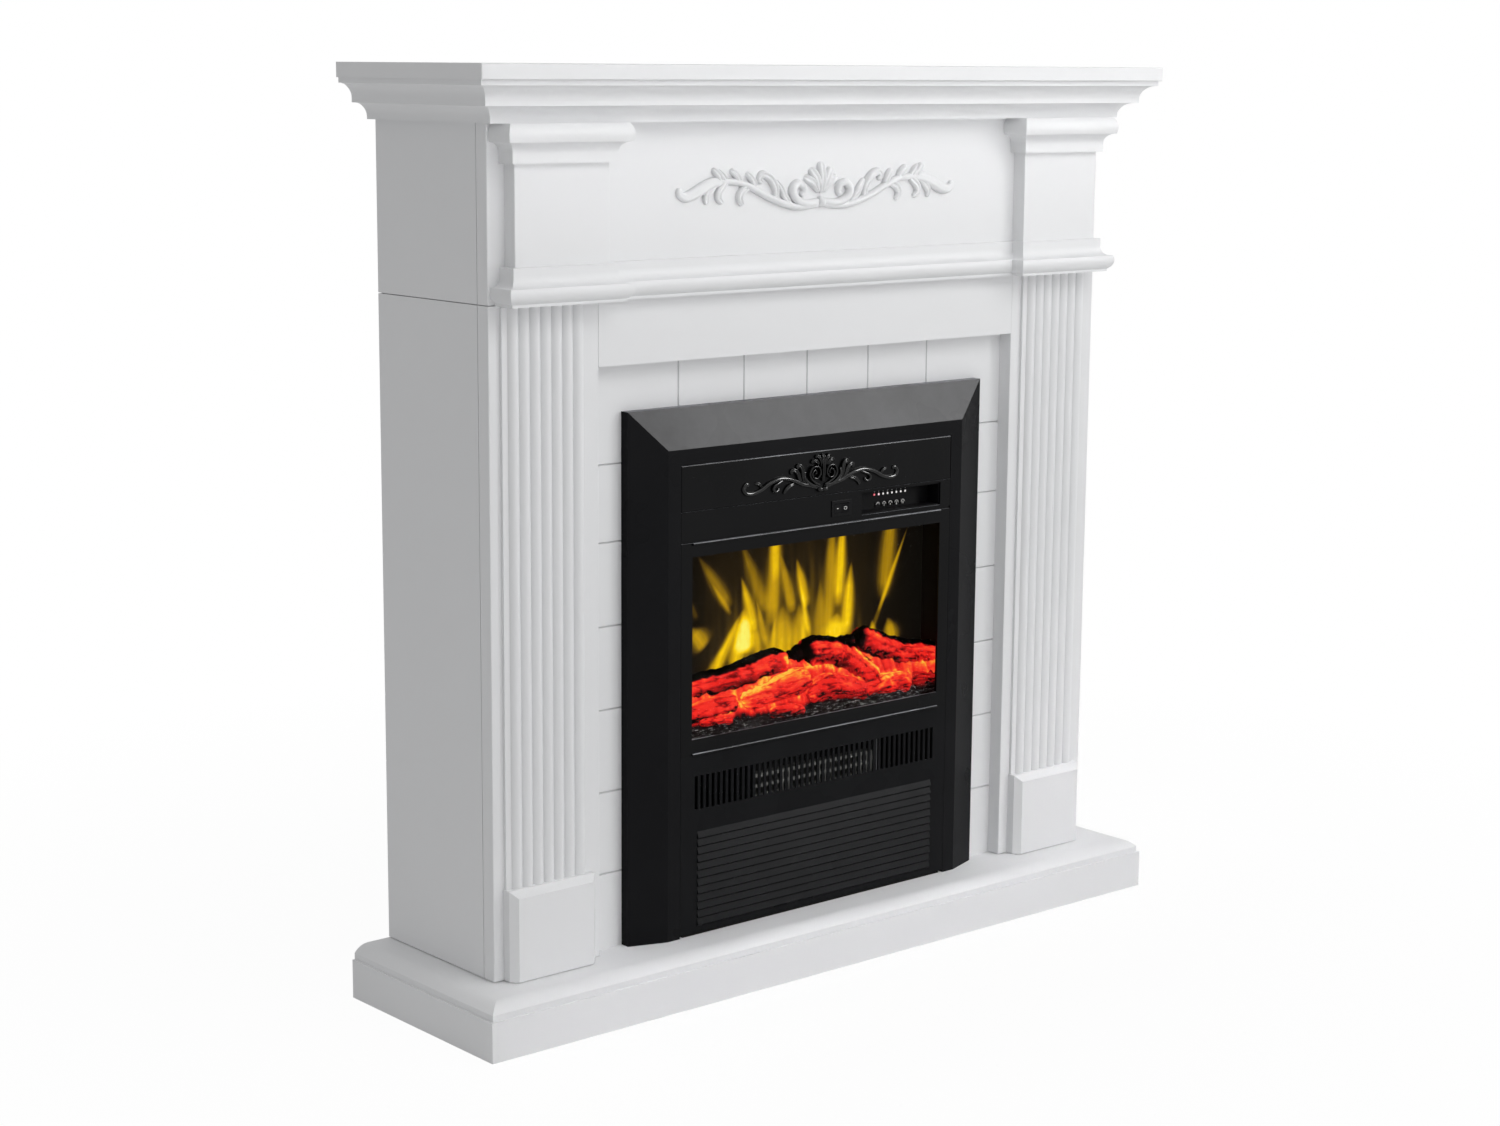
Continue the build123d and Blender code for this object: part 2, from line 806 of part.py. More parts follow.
def control_panel():
    """Tray behind the strip: its floor carries the buttons and lenses."""
    tray = box(recess_left, recess_right, plate_back, tray_face + plate, recess_low, recess_high)
    hollow = box(
        recess_left + tray_wall,
        recess_right - tray_wall,
        plate_back,
        tray_face,
        recess_low + tray_wall,
        recess_high - tray_wall,
    )
    tray = tray - hollow
    half_width = button_width / 2 + button_clearance
    half_height = button_height / 2 + button_clearance
    hole = box(-half_width, half_width, tray_face, tray_face + plate, -half_height, half_height)
    for x, z in button_places():
        tray = tray - Pos(x, 0, z) * hole
    for x, z in lens_places():
        tray = tray - Pos(x, tray_face, z) * across_y(lens_radius, plate)
    return tray


def push_button(x, z):
    """Key cap with a stem and a collar that keeps it in the tray."""
    half_width = button_width / 2
    half_height = button_height / 2
    cap_front = tray_face - button_proud
    back = tray_face + button_stem / 2
    cap = box(x - half_width, x + half_width, cap_front, back, z - half_height, z + half_height)
    cap = fillet(cap.faces().sort_by(Axis.Y)[0].edges(), edge_round / 2)
    reach = button_clearance + button_collar
    collar = box(
        x - half_width - reach / 2,
        x + half_width + reach / 2,
        tray_face + plate,
        back,
        z - half_height - reach,
        z + half_height + reach,
    )
    return cap + collar


def indicator_lenses():
    """Row of small round lenses let into the tray's floor."""
    lens = across_y(lens_radius, plate)
    return Compound(children=[Pos(x, tray_face, z) * lens for x, z in lens_places()])


def control_board():
    """Circuit board on four standoffs behind the tray."""
    front = tray_face + plate + board_standoff
    solid = box(recess_left, recess_right, front, front + circuit_board, recess_low, recess_high)
    post = across_y(standoff_radius, board_standoff)
    for x in (recess_left + standoff_inset, recess_right - standoff_inset):
        for z in (recess_low + standoff_inset, recess_high - standoff_inset):
            solid = solid + Pos(x, tray_face + plate, z) * post
    return solid


def rocker_housing():
    """Snap-in switch body with a thin bezel, open at the front."""
    inner_x = rocker_width / 2 + rocker_clearance
    inner_z = rocker_height / 2 + rocker_clearance
    outer_x = inner_x + rocker_wall
    outer_z = inner_z + rocker_wall
    rim_x = outer_x + rocker_bezel
    rim_z = outer_z + rocker_bezel
    body = box(-outer_x, outer_x, 0, rocker_depth, -outer_z, outer_z)
    bezel = box(-rim_x, rim_x, -rocker_bezel_thickness, 0, -rim_z, rim_z)
    bezel = fillet(bezel.faces().sort_by(Axis.Y)[0].edges(), edge_round / 2)
    pocket_back = rocker_depth - rocker_wall
    pocket = box(-inner_x, inner_x, -rocker_bezel_thickness, pocket_back, -inner_z, inner_z)
    pin_length = rocker_height + 2 * (rocker_clearance + rocker_pin_length)
    pin_hole = Pos(0, rocker_pin_depth, 0) * Cylinder(rocker_pin_radius + pin_clearance, pin_length)
    return Pos(rocker_centre, insert_front, control_middle) * (body + bezel - pocket - pin_hole)


def rocker():
    """Rocker key with two shallow sloping faces, pressed to its left side, on a pin along Z."""
    half = rocker_width / 2 - 2 * rocker_clearance
    slope = math.tan(math.radians(rocker_tilt))
    front = rocker_bezel_thickness + rocker_pin_depth
    outline = Polyline(
        (-half, front + half * slope),
        (0, front),
        (half, front + half * slope),
        (half, rocker_pin_depth),
        (2 * rocker_pin_radius, -2 * rocker_pin_radius),
        (-2 * rocker_pin_radius, -2 * rocker_pin_radius),
        (-half, rocker_pin_depth),
        close=True,
    )
    section = Plane(origin=(0, 0, 0), x_dir=(1, 0, 0), z_dir=(0, 0, -1)) * make_face(outline)
    key = extrude(section, rocker_height / 2, both=True)
    pin_length = rocker_height + rocker_clearance + 2 * rocker_pin_length
    key = key + Cylinder(rocker_pin_radius, pin_length)
    pin = Pos(rocker_centre, insert_front + rocker_pin_depth, control_middle)
    return pin * Rot(0, 0, -rocker_tilt) * key


def window_frame():
    """Frame round the window with a thin lip along its upper and its lower edge."""
    half = window_half_width
    frame = box(-fascia_side, fascia_side, insert_front, plate_back, window_bottom, window_top)
    low = window_bottom + window_bottom_rail
    high = window_top - window_top_rail
    frame = frame - box(-half, half, insert_front, plate_back, low, high)
    proud = insert_front - window_lip_depth
    lip = box(-half, half, proud, insert_front, 0, window_lip)
    lip = fillet(lip.faces().sort_by(Axis.Y)[0].edges().filter_by(Axis.X), window_lip_round)
    return frame + Pos(0, 0, window_bottom) * lip + Pos(0, 0, window_top - window_lip) * lip


def window_glass():
    """Pane behind the window frame."""
    half = window_half_width + glass_overlap
    return box(-half, half, plate_back, glass_back, window_bottom, window_top)


def lower_panel():
    """Pressed panel with the slotted outlet and the ribbed field below it."""
    panel = box(-fascia_side, fascia_side, insert_front, plate_back, lower_panel_bottom, window_bottom)
    slot_top = window_bottom - slot_drop
    slot = box(-slot_width / 2, slot_width / 2, insert_front, plate_back, slot_top - slot_height, slot_top)
    last = window_half_width - slot_side_margin - slot_width / 2
    pitch = 2 * last / (slot_count - 1)
    slots = [Pos(-last + index * pitch, 0, 0) * slot for index in range(slot_count)]
    panel = panel - slots
    rib_top = window_bottom - rib_drop
    rib_count = int((rib_top - rib_low_margin - lower_panel_bottom) / rib_pitch)
    rib_bottom = rib_top - rib_count * rib_pitch
    root = -plate / 2
    outline = Polyline((0, rib_top), (root, rib_top), (root, rib_bottom), (0, rib_bottom))
    for index in range(rib_count):
        low = rib_bottom + index * rib_pitch
        outline = outline + Polyline((0, low), (rib_depth, low + rib_crest), (0, low + rib_pitch))
    rib_side = window_half_width - rib_side_margin
    return panel + run_along_x(make_face(outline), insert_front, -rib_side, rib_side)


def firebox_case():
    """Folded sheet case with a narrower open neck, a bearing collar, air intake and inlet hole."""
    low = hearth_height + case_sheet
    high = case_top - case_sheet
    inside = case_back - case_sheet
    neck = box(-neck_side, neck_side, plate_back, neck_back, hearth_height, case_top)
    outer = neck + box(-case_side, case_side, neck_back, case_back, hearth_height, case_top)
    mouth = box(-neck_inner, neck_inner, plate_back, chamber_front, low, high)
    inner = mouth + box(-case_inner, case_inner, chamber_front, inside, low, high)
    gland_hole = Pos(gland_side, inside, hearth_height + gland_lift) * across_y(gland_radius, case_sheet)
    intake_low = wheel_axis().position.Z - intake_height / 2
    intake_half = intake_width / 2
    intake = box(-intake_half, intake_half, inside, case_back, intake_low, intake_low + intake_height)
    intake_first = -(intake_count - 1) / 2 * intake_pitch
    intakes = [Pos(intake_first + index * intake_pitch, 0, 0) * intake for index in range(intake_count)]
    collar = spinner_axis() * across_x(bush_radius, -case_inner, -case_inner + bush_length)
    bore = spinner_axis() * across_x(rod_radius + shaft_clearance, -case_inner, -case_inner + bush_length)
    return outer - inner - gland_hole - intakes + collar - bore


def firebox_shelf():
    """Shelf between the fire above and the heater below."""
    low = shelf_plate_top - plate
    front = box(-neck_inner, neck_inner, plate_back, chamber_front, low, shelf_plate_top)
    return front + box(-case_inner, case_inner, chamber_front, case_back - case_sheet, low, shelf_plate_top)


def log(start, end, start_radius, end_radius):
    """Tapering, rough-hewn log between two points."""
    axis = Vector(*end) - Vector(*start)
    place = Plane(origin=start, z_dir=axis)
    butt = place * RegularPolygon(start_radius, log_sides)
    tip = place.offset(axis.length) * RegularPolygon(end_radius, log_sides)
    return loft([butt, tip])


def log_bed():
    """Ember bed with its logs, moulded in one hollow piece."""
    low = shelf_plate_top
    top = low + log_bed_height
    front_top = low + log_bed_front_height
    front_edge = [(-log_bed_front, low), (-log_bed_front, front_top)]
    back_edge = [(-log_bed_back, top), (-log_bed_back, low)]
    section = make_face(Polyline(*front_edge, *back_edge, close=True))
    bed = run_along_x(section, 0, -log_bed_half, log_bed_half)
    for ends in log_ends:
        places = [(log_bed_half * along, log_bed_middle + behind, top + up) for along, behind, up in ends]
        bed = bed + log(*places, log_radius, log_tip_radius)
    side = log_bed_half - log_bed_wall
    hollow_back = log_bed_back - log_bed_back_wall
    return bed - box(-side, side, log_bed_front + log_bed_wall, hollow_back, low, front_top)


def lamp_strip():
    """Strip of lamps under the ember bed."""
    half = log_bed_half - log_bed_wall - lamp_end_gap
    near = log_bed_middle - lamp_strip_depth / 2
    top = shelf_plate_top + lamp_strip_thickness
    strip = box(-half, half, near, near + lamp_strip_depth, shelf_plate_top, top)
    pitch = 2 * half / lamp_count
    lamp = Box(lamp_size, lamp_size, lamp_height)
    for index in range(lamp_count):
        x = -half + (index + 1 / 2) * pitch
        strip = strip + Pos(x, log_bed_middle, top + lamp_height / 2) * lamp
    return strip


def flame_screen():
    """Translucent screen behind the logs on which the flames show."""
    top = window_top - screen_top_gap
    return box(-case_inner, case_inner, screen_front, screen_back, shelf_plate_top, top)


def spinner_axis():
    """Place of the spinner's axis along X, midway between the screen and the case's back."""
    middle = (screen_back + case_back - case_sheet) / 2
    return Pos(0, middle, shelf_plate_top + spinner_lift)


def flame_spinner():
    """Rod with reflector paddles turned round it."""
    motor_front = case_inner - flame_motor_length
    left = -case_inner + shaft_end_gap
    spinner = across_x(rod_radius, left, motor_front + motor_bore_depth - shaft_end_gap)
    span = motor_front + case_inner - bush_length - 2 * paddle_length
    pitch = span / spinner_paddles
    first = -case_inner + bush_length + paddle_length
    tip = rod_radius + paddle_reach
    paddle = Pos(paddle_length / 2, 0, tip / 2) * Box(paddle_length, paddle_thickness, tip)
    for index in range(spinner_paddles):
        spinner = spinner + Pos(first + index * pitch, 0, 0) * Rot(paddle_turn * index, 0, 0) * paddle
    return spinner_axis() * spinner


def flame_motor():
    """Small geared motor on the right wall."""
    front = case_inner - flame_motor_length
    motor = across_x(flame_motor_radius, front, case_inner)
    motor = motor - across_x(rod_radius + shaft_clearance, front, front + motor_bore_depth)
    return spinner_axis() * motor


def wheel_axis():
    """Place of the blower wheel's axis along X."""
    return Pos(0, plate_back + throat_length + scroll_radius, window_bottom - slot_drop - slot_height / 2)


def heater_duct():
    """Blower housing: a scroll round the wheel and a throat to the outlet slots."""
    axis_y = wheel_axis().position.Y
    axis_z = wheel_axis().position.Z
    half = duct_half_width
    throat_low = axis_z - throat_height / 2
    throat_high = axis_z + throat_height / 2
    throat = box(-half, half, plate_back, axis_y, throat_low, throat_high)
    outer = throat + wheel_axis() * across_x(scroll_radius, -half, half)
    inner = half - case_sheet
    inner_throat = box(-inner, inner, plate_back, axis_y, throat_low + case_sheet, throat_high - case_sheet)
    inner_scroll = wheel_axis() * across_x(scroll_radius - case_sheet, -inner, inner)
    inlet = box(-inner, inner, axis_y, axis_y + scroll_radius, axis_z, axis_z + inlet_height)
    shaft_hole = wheel_axis() * across_x(rod_radius + shaft_clearance, -half, half)
    hanger = box(-half, half, plate_back, plate_back + hanger_depth, throat_high, shelf_plate_top - plate)
    return outer + hanger - inner_throat - inner_scroll - inlet - shaft_hole


def heating_element():
    """Heater grid on the floor of the throat: a frame, bars and thin fins."""
    axis_z = wheel_axis().position.Z
    half = duct_half_width - case_sheet
    low = axis_z - throat_height / 2 + case_sheet
    high = low + element_height
    front = plate_back + element_setback
    back = front + element_depth
    rim = element_frame
    frame = box(-half, half, front, back, low, high)
    grid = frame - box(-half + rim, half - rim, front, back, low + rim, high - rim)
    span = high - low - 2 * rim
    for index in range(element_bars):
        z = low + rim + span * (index + 1) / (element_bars + 1)
        grid = grid + box(-half, half, front, back, z - element_bar_height / 2, z + element_bar_height / 2)
    pitch = 2 * half / (fin_count + 1)
    for index in range(fin_count):
        x = -half + (index + 1) * pitch
        grid = grid + box(x - fin_thickness / 2, x + fin_thickness / 2, front, back, low, high)
    return grid


def blower_wheel():
    """Tangential wheel: two end discs, leaning blades and its shaft."""
    half = duct_half_width - wheel_end_gap
    shaft = across_x(rod_radius, -duct_half_width, duct_half_width + motor_bore_depth - shaft_end_gap)
    left_disc = across_x(wheel_radius, -half, -half + wheel_disc)
    right_disc = across_x(wheel_radius, half - wheel_disc, half)
    wheel = shaft + left_disc + right_disc
    blade = Box(2 * half, blade_depth, blade_thickness)
    blade = Pos(0, wheel_radius - blade_depth, 0) * Rot(blade_lean, 0, 0) * blade
    for index in range(wheel_blades):
        wheel = wheel + Rot(360 / wheel_blades * index, 0, 0) * blade
    return wheel_axis() * wheel


def blower_motor():
    """Motor on the right end of the blower housing."""
    end = duct_half_width + blower_motor_length
    motor = across_x(blower_motor_radius, duct_half_width, end)
    bore = across_x(rod_radius + shaft_clearance, duct_half_width, duct_half_width + motor_bore_depth)
    return wheel_axis() * (motor - bore)


def cable_gland():
    """Mains inlet gland in the back of the case."""
    inside = case_back - case_sheet - gland_nut_thickness
    length = gland_nut_thickness + case_sheet + gland_length
    hexagon = extrude(RegularPolygon(gland_nut_radius, gland_nut_sides), gland_nut_thickness)
    nut = Pos(0, gland_nut_thickness, 0) * Rot(90, 0, 0) * hexagon
    gland = across_y(gland_radius, length) + nut
    gland = gland + Pos(0, gland_nut_thickness + case_sheet, 0) * nut - across_y(gland_bore, length)
    return Pos(gland_side, inside, hearth_height + gland_lift) * gland


pieces = {"mantel_shelf": mantel_shelf()}
pieces.update(crown())
pieces.update(frieze_box())
pieces.update(architrave())
for name, piece in legs().items():
    pieces[name + "_right"] = piece
    pieces[name + "_left"] = other_side(piece)
for name, piece in (("pilaster_block", pilaster_block()), ("capital", wrap_block(capital_profile()))):
    pieces[name + "_right"] = piece
    pieces[name + "_left"] = other_side(piece)
pieces.update(hearth_fascias())
pieces["hearth_top"] = hearth_top()
pieces["header_board"] = header_board()
pieces["back_rail"] = back_rail()
pieces["tile_panel"] = tile_panel()
pieces["frieze_ornament"] = frieze_ornament()
pieces["trim_frame"] = trim_frame()
pieces["ornament_panel"] = ornament_panel()
pieces["scroll_ornament"] = scroll_ornament()
pieces["control_strip"] = control_strip()
pieces["control_panel"] = control_panel()
for index, (x, z) in enumerate(button_places()):
    pieces[f"push_button_{index + 1}"] = push_button(x, z)
pieces["indicator_lenses"] = indicator_lenses()
pieces["control_board"] = control_board()
pieces["rocker_housing"] = rocker_housing()
pieces["rocker"] = rocker()
pieces["window_frame"] = window_frame()
pieces["window_glass"] = window_glass()
pieces["lower_panel"] = lower_panel()
pieces["firebox_case"] = firebox_case()
pieces["firebox_shelf"] = firebox_shelf()
pieces["log_bed"] = log_bed()
pieces["lamp_strip"] = lamp_strip()
pieces["flame_screen"] = flame_screen()
pieces["flame_spinner"] = flame_spinner()
pieces["flame_motor"] = flame_motor()
pieces["heater_duct"] = heater_duct()
pieces["heating_element"] = heating_element()
pieces["blower_wheel"] = blower_wheel()
pieces["blower_motor"] = blower_motor()
pieces["cable_gland"] = cable_gland()

os.makedirs("parts", exist_ok=True)
for name, piece in pieces.items():
    export_step(piece, f"parts/{name}.step")
print(len(pieces), "nodes written")
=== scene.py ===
# %% [markdown]
# A white mantel surround with a black electric insert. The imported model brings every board, plate and
# moving part in metres, in one frame: the front looks towards -Y, +Z is up, and the origin is on the floor
# under the middle of the hearth. This lesson keeps those solids as they are, gives each one a finish, and
# adds what a solid modeller leaves out: carved scrolls, glowing logs, flames, printed marks and screws.

# %% Load the frame
import json
import math

import bmesh
import bpy
from mathutils import Matrix, Vector, noise


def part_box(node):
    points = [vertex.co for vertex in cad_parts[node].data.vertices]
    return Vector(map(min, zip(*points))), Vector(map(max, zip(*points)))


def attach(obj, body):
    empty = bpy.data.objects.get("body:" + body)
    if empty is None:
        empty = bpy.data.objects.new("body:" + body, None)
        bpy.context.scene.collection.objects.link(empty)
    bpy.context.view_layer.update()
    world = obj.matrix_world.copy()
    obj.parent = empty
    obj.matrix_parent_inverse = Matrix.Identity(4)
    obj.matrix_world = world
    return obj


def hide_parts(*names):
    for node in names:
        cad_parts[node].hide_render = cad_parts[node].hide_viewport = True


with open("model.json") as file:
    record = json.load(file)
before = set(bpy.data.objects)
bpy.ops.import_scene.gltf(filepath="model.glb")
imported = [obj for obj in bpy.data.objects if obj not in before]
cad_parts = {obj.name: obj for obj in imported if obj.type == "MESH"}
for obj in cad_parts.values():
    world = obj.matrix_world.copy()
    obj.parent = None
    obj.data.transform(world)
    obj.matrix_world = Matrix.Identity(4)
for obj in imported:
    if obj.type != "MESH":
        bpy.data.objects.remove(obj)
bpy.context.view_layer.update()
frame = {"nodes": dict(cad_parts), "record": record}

nodes = frame["nodes"]
MM = 0.001
SURROUND = "surround"

# %% [markdown]
# The camera is the photographer's. A fit of the surround's corners gave its place, its direction and its
# focal length in pixels of a picture 1500 wide. A camera object looks along its own -Z with +Y up, so its
# three axes are written straight into its matrix.

# %% Camera
PICTURE_WIDTH = 1500
FOCAL_PIXELS = 2736.06
SENSOR_WIDTH = 36.0
EYE = Vector((-2.05974, -2.35812, 1.02613))
AZIMUTH = math.radians(-40.5886)
ELEVATION = math.radians(10.3602)
ROLL = math.radians(-0.4427)


def new_object(name, data):
    """New object in the scene."""
    made = bpy.data.objects.new(name, data)
    bpy.context.scene.collection.objects.link(made)
    return made


def photo_camera():
    """Camera at the photographer's place."""
    level = math.cos(ELEVATION)
    back = Vector((math.sin(AZIMUTH) * level, -math.cos(AZIMUTH) * level, math.sin(ELEVATION)))
    right = Vector((0, 0, 1)).cross(back).normalized()
    up = back.cross(right)
    turned_right = right * math.cos(ROLL) - up * math.sin(ROLL)
    turned_up = right * math.sin(ROLL) + up * math.cos(ROLL)
    data = bpy.data.cameras.new("photo_camera")
    data.sensor_fit = "HORIZONTAL"
    data.sensor_width = SENSOR_WIDTH
    data.lens = FOCAL_PIXELS * SENSOR_WIDTH / PICTURE_WIDTH
    camera = new_object("photo_camera", data)
    axes = Matrix((turned_right, turned_up, back)).transposed().to_4x4()
    camera.matrix_world = Matrix.Translation(EYE) @ axes
    bpy.context.scene.camera = camera
    return camera


camera = photo_camera()
bpy.context.scene.view_settings.view_transform = "Standard"
print("lens", round(camera.data.lens, 2), "mm")

# %% [markdown]
# Materials are node trees. A few helpers keep the rest readable: they add a node and fill its inputs, do a
# sum, make noise and turn a number into a colour. Noise runs in Object coordinates, which are metres of the
# shared frame, so a grain has a real size.


# %% Node helpers
def plug(tree, value, socket):
    """Wire an input to another node's output, or give it a plain value."""
    if isinstance(value, bpy.types.NodeSocket):
        tree.links.new(value, socket)
    else:
        socket.default_value = value


def plug_in(tree, node, **values):
    """Fill inputs of a node by name."""
    for key, value in values.items():
        plug(tree, value, node.inputs[key.replace("_", " ")])


def add_node(tree, kind, **settings):
    """New node in a tree: names in small letters are its properties, and capitals its inputs."""
    node = tree.nodes.new(kind)
    for key, value in settings.items():
        if key[0].isupper():
            plug_in(tree, node, **{key: value})
        else:
            setattr(node, key, value)
    return node


def math_node(tree, operation, *values, clamp=False):
    """Math node whose inputs are sockets or plain numbers; returns its output socket."""
    node = add_node(tree, "ShaderNodeMath", operation=operation, use_clamp=clamp)
    for value, socket in zip(values, node.inputs):
        plug(tree, value, socket)
    return node.outputs[0]


def noise_node(tree, scale, detail=2.0, roughness=0.5, at=None):
    """Noise over a surface, in metres of the frame unless a place is given; returns its value socket."""
    if at is None:
        at = add_node(tree, "ShaderNodeTexCoord").outputs["Object"]
    node = add_node(tree, "ShaderNodeTexNoise", Vector=at, Scale=scale, Detail=detail, Roughness=roughness)
    return node.outputs["Fac"]


def ramp_node(tree, factor, stops):
    """Colour ramp with (place, colour) stops; returns its colour socket."""
    ramp = add_node(tree, "ShaderNodeValToRGB", Fac=factor)
    elements = ramp.color_ramp.elements
    while len(elements) < len(stops):
        elements.new(1.0)
    for element, (place, colour) in zip(elements, stops):
        element.position = place
        element.color = (*colour, 1.0)
    return ramp.outputs["Color"]


# %% [markdown]
# An effect that several materials share is a node group with named sockets. A material starts with a
# Principled shader and plain values, and what varies is wired in later.


# %% Groups and finishes
def new_group(name, kind, inputs, outputs):
    """Node group with named sockets; returns it with its inputs' sockets and its output node."""
    group = bpy.data.node_groups.new(name, kind)
    for label, socket_kind, value in inputs:
        socket = group.interface.new_socket(label, in_out="INPUT", socket_type=socket_kind)
        if value is not None:
            socket.default_value = value
    for label, socket_kind in outputs:
        group.interface.new_socket(label, in_out="OUTPUT", socket_type=socket_kind)
    return group, add_node(group, "NodeGroupInput").outputs, add_node(group, "NodeGroupOutput")


def new_finish(name, colour, roughness, shine=0.5, metal=0.0, **constants):
    """Material with a Principled shader and its plain values; returns the material, tree and shader."""
    material = bpy.data.materials.new(name)
    material.use_nodes = True
    tree = material.node_tree
    shader = tree.nodes["Principled BSDF"]
    plug_in(tree, shader, Base_Color=(*colour, 1.0), Roughness=roughness, Metallic=metal, **constants)
    plug_in(tree, shader, Specular_IOR_Level=shine)
    return material, tree, shader


# %% [markdown]
# Every coat here has the same two habits: a fine grain left by the spray or the mould, and slow clouds where
# it is thicker or catches the light differently. One shader group makes both, with their sizes as inputs, and
# each finish plugs it in with its own values.

# %% Shared grain group
FLOAT = "NodeSocketFloat"
COLOUR = "NodeSocketColor"
GREY = (0.8, 0.8, 0.8, 1.0)
GRAIN_HEIGHT = 0.0003


def grain_group():
    """Group that puts out a clouded colour, a roughness and a height for a bump."""
    inputs = [
        ("Color", COLOUR, GREY),
        ("Cloud Size", FLOAT, 8.0),
        ("Cloud Amount", FLOAT, 0.05),
        ("Grain Size", FLOAT, 900.0),
        ("Roughness", FLOAT, 0.5),
        ("Roughness Spread", FLOAT, 0.1),
    ]
    outputs = [("Color", COLOUR), ("Roughness", FLOAT), ("Height", FLOAT)]
    group, given, result = new_group("coat_grain", "ShaderNodeTree", inputs, outputs)
    cloud = noise_node(group, given["Cloud Size"], detail=3.0, roughness=0.55)
    grain = noise_node(group, given["Grain Size"], detail=2.0, roughness=0.6)
    centred = math_node(group, "SUBTRACT", cloud, 0.5)
    shift = math_node(group, "MULTIPLY", centred, given["Cloud Amount"])
    level = math_node(group, "ADD", shift, 1.0)
    tint = add_node(group, "ShaderNodeVectorMath", operation="SCALE", Vector=given["Color"], Scale=level)
    rough_shift = math_node(group, "MULTIPLY", centred, given["Roughness Spread"])
    rough = math_node(group, "ADD", given["Roughness"], rough_shift, clamp=True)
    plug_in(group, result, Color=tint.outputs["Vector"], Roughness=rough, Height=grain)
    return group


COAT_GRAIN = grain_group()


def coated(name, colour, roughness, grain_size, bump, cloud_size=8.0, cloud=0.05, spread=0.1, **shading):
    """Finish whose colour, roughness and bump come from the shared grain group."""
    material, tree, shader = new_finish(name, colour, roughness, **shading)
    grain = add_node(tree, "ShaderNodeGroup", node_tree=COAT_GRAIN, Color=(*colour, 1.0), Grain_Size=grain_size)
    plug_in(tree, grain, Cloud_Size=cloud_size, Cloud_Amount=cloud)
    plug_in(tree, grain, Roughness=roughness, Roughness_Spread=spread)
    made = grain.outputs
    relief = add_node(tree, "ShaderNodeBump", Strength=bump, Distance=GRAIN_HEIGHT, Height=made["Height"])
    plug_in(tree, shader, Base_Color=made["Color"], Roughness=made["Roughness"])
    plug_in(tree, shader, Normal=relief.outputs["Normal"])
    return material


print("group", COAT_GRAIN.name, "with", len(COAT_GRAIN.nodes), "nodes")

# %% [markdown]
# The boards are fibreboard under a semi-matte white lacquer: almost even, with a faint orange peel. The
# insert is sheet steel under a satin black powder coat with a fine sandy grain. Plastic, galvanised sheet and
# the parts inside are other values of the same group. The record names a finish for every solid, and a second
# table says which of those names share one.

# %% Finishes of the solids
ZINC_FLOWERS = dict(cloud_size=45, cloud=0.5, spread=0.35)
FINISHES = [
    # name, colour, roughness, grain size, bump and other values
    ("white_paint", (0.79, 0.795, 0.805), 0.55, 700, 0.10, dict(cloud_size=5.0, cloud=0.03, shine=0.15)),
    ("black_steel", (0.0028, 0.0029, 0.0033), 0.28, 1500, 0.15, dict(cloud=0.5, shine=0.10)),
    ("black_plastic", (0.005, 0.005, 0.0055), 0.45, 2200, 0.25, dict(cloud=0.3, shine=0.04)),
    ("button_plastic", (0.006, 0.006, 0.0065), 0.4, 2600, 0.15, dict(cloud=0.3, shine=0.05)),
    ("circuit_green", (0.02, 0.13, 0.05), 0.42, 1800, 0.2, dict(cloud_size=60, cloud=0.5)),
    ("galvanised", (0.16, 0.165, 0.17), 0.55, 160, 0.15, dict(ZINC_FLOWERS, metal=1.0)),
    ("reflector_foil", (0.75, 0.75, 0.74), 0.22, 400, 0.2, dict(cloud=0.1, metal=1.0)),
    ("motor_casing", (0.3, 0.3, 0.31), 0.38, 500, 0.2, dict(cloud=0.2, metal=1.0)),
    ("heater_fins", (0.27, 0.27, 0.26), 0.45, 600, 0.2, dict(cloud=0.2, metal=0.9)),
    ("blower_black", (0.02, 0.02, 0.021), 0.5, 1500, 0.2, dict(cloud=0.3)),
    ("lamp_board", (0.75, 0.75, 0.72), 0.5, 900, 0.2, dict(cloud=0.1)),
]
SHARED_FINISHES = {
    "black_ornament": "black_steel",
    "circuit_board": "circuit_green",
    "galvanised_sheet": "galvanised",
    "blower_wheel": "blower_black",
}
finish_of_slot = {name: coated(name, *values, **others) for name, *values, others in FINISHES}
finish_of_slot.update({slot: finish_of_slot[name] for slot, name in SHARED_FINISHES.items()})
print(len(FINISHES), "finishes made")

# %% [markdown]
# A black plate is mostly seen by the light it reflects. Faces that look up get a thin cloudy grey painted
# into their colour, a painted reflection of the lamps overhead, so the frame's top bevel and the plates' upper
# edges read grey, while upright faces stay black. A second shader group makes this painted sheen from how far
# the surface faces up, broken by slow noise. A Mix node has sockets for every kind of data, and three numbers
# pick its colour ones.

# %% Painted sheen on the front plates
UP_GAIN, UP_START = 3.0, -0.9
PATCH_GAIN, PATCH_START = 2.2, -0.5
MIX_FIRST, MIX_SECOND, MIX_RESULT = 6, 7, 2
SATIN, POWDER = 0.28, (1500, 0.15)


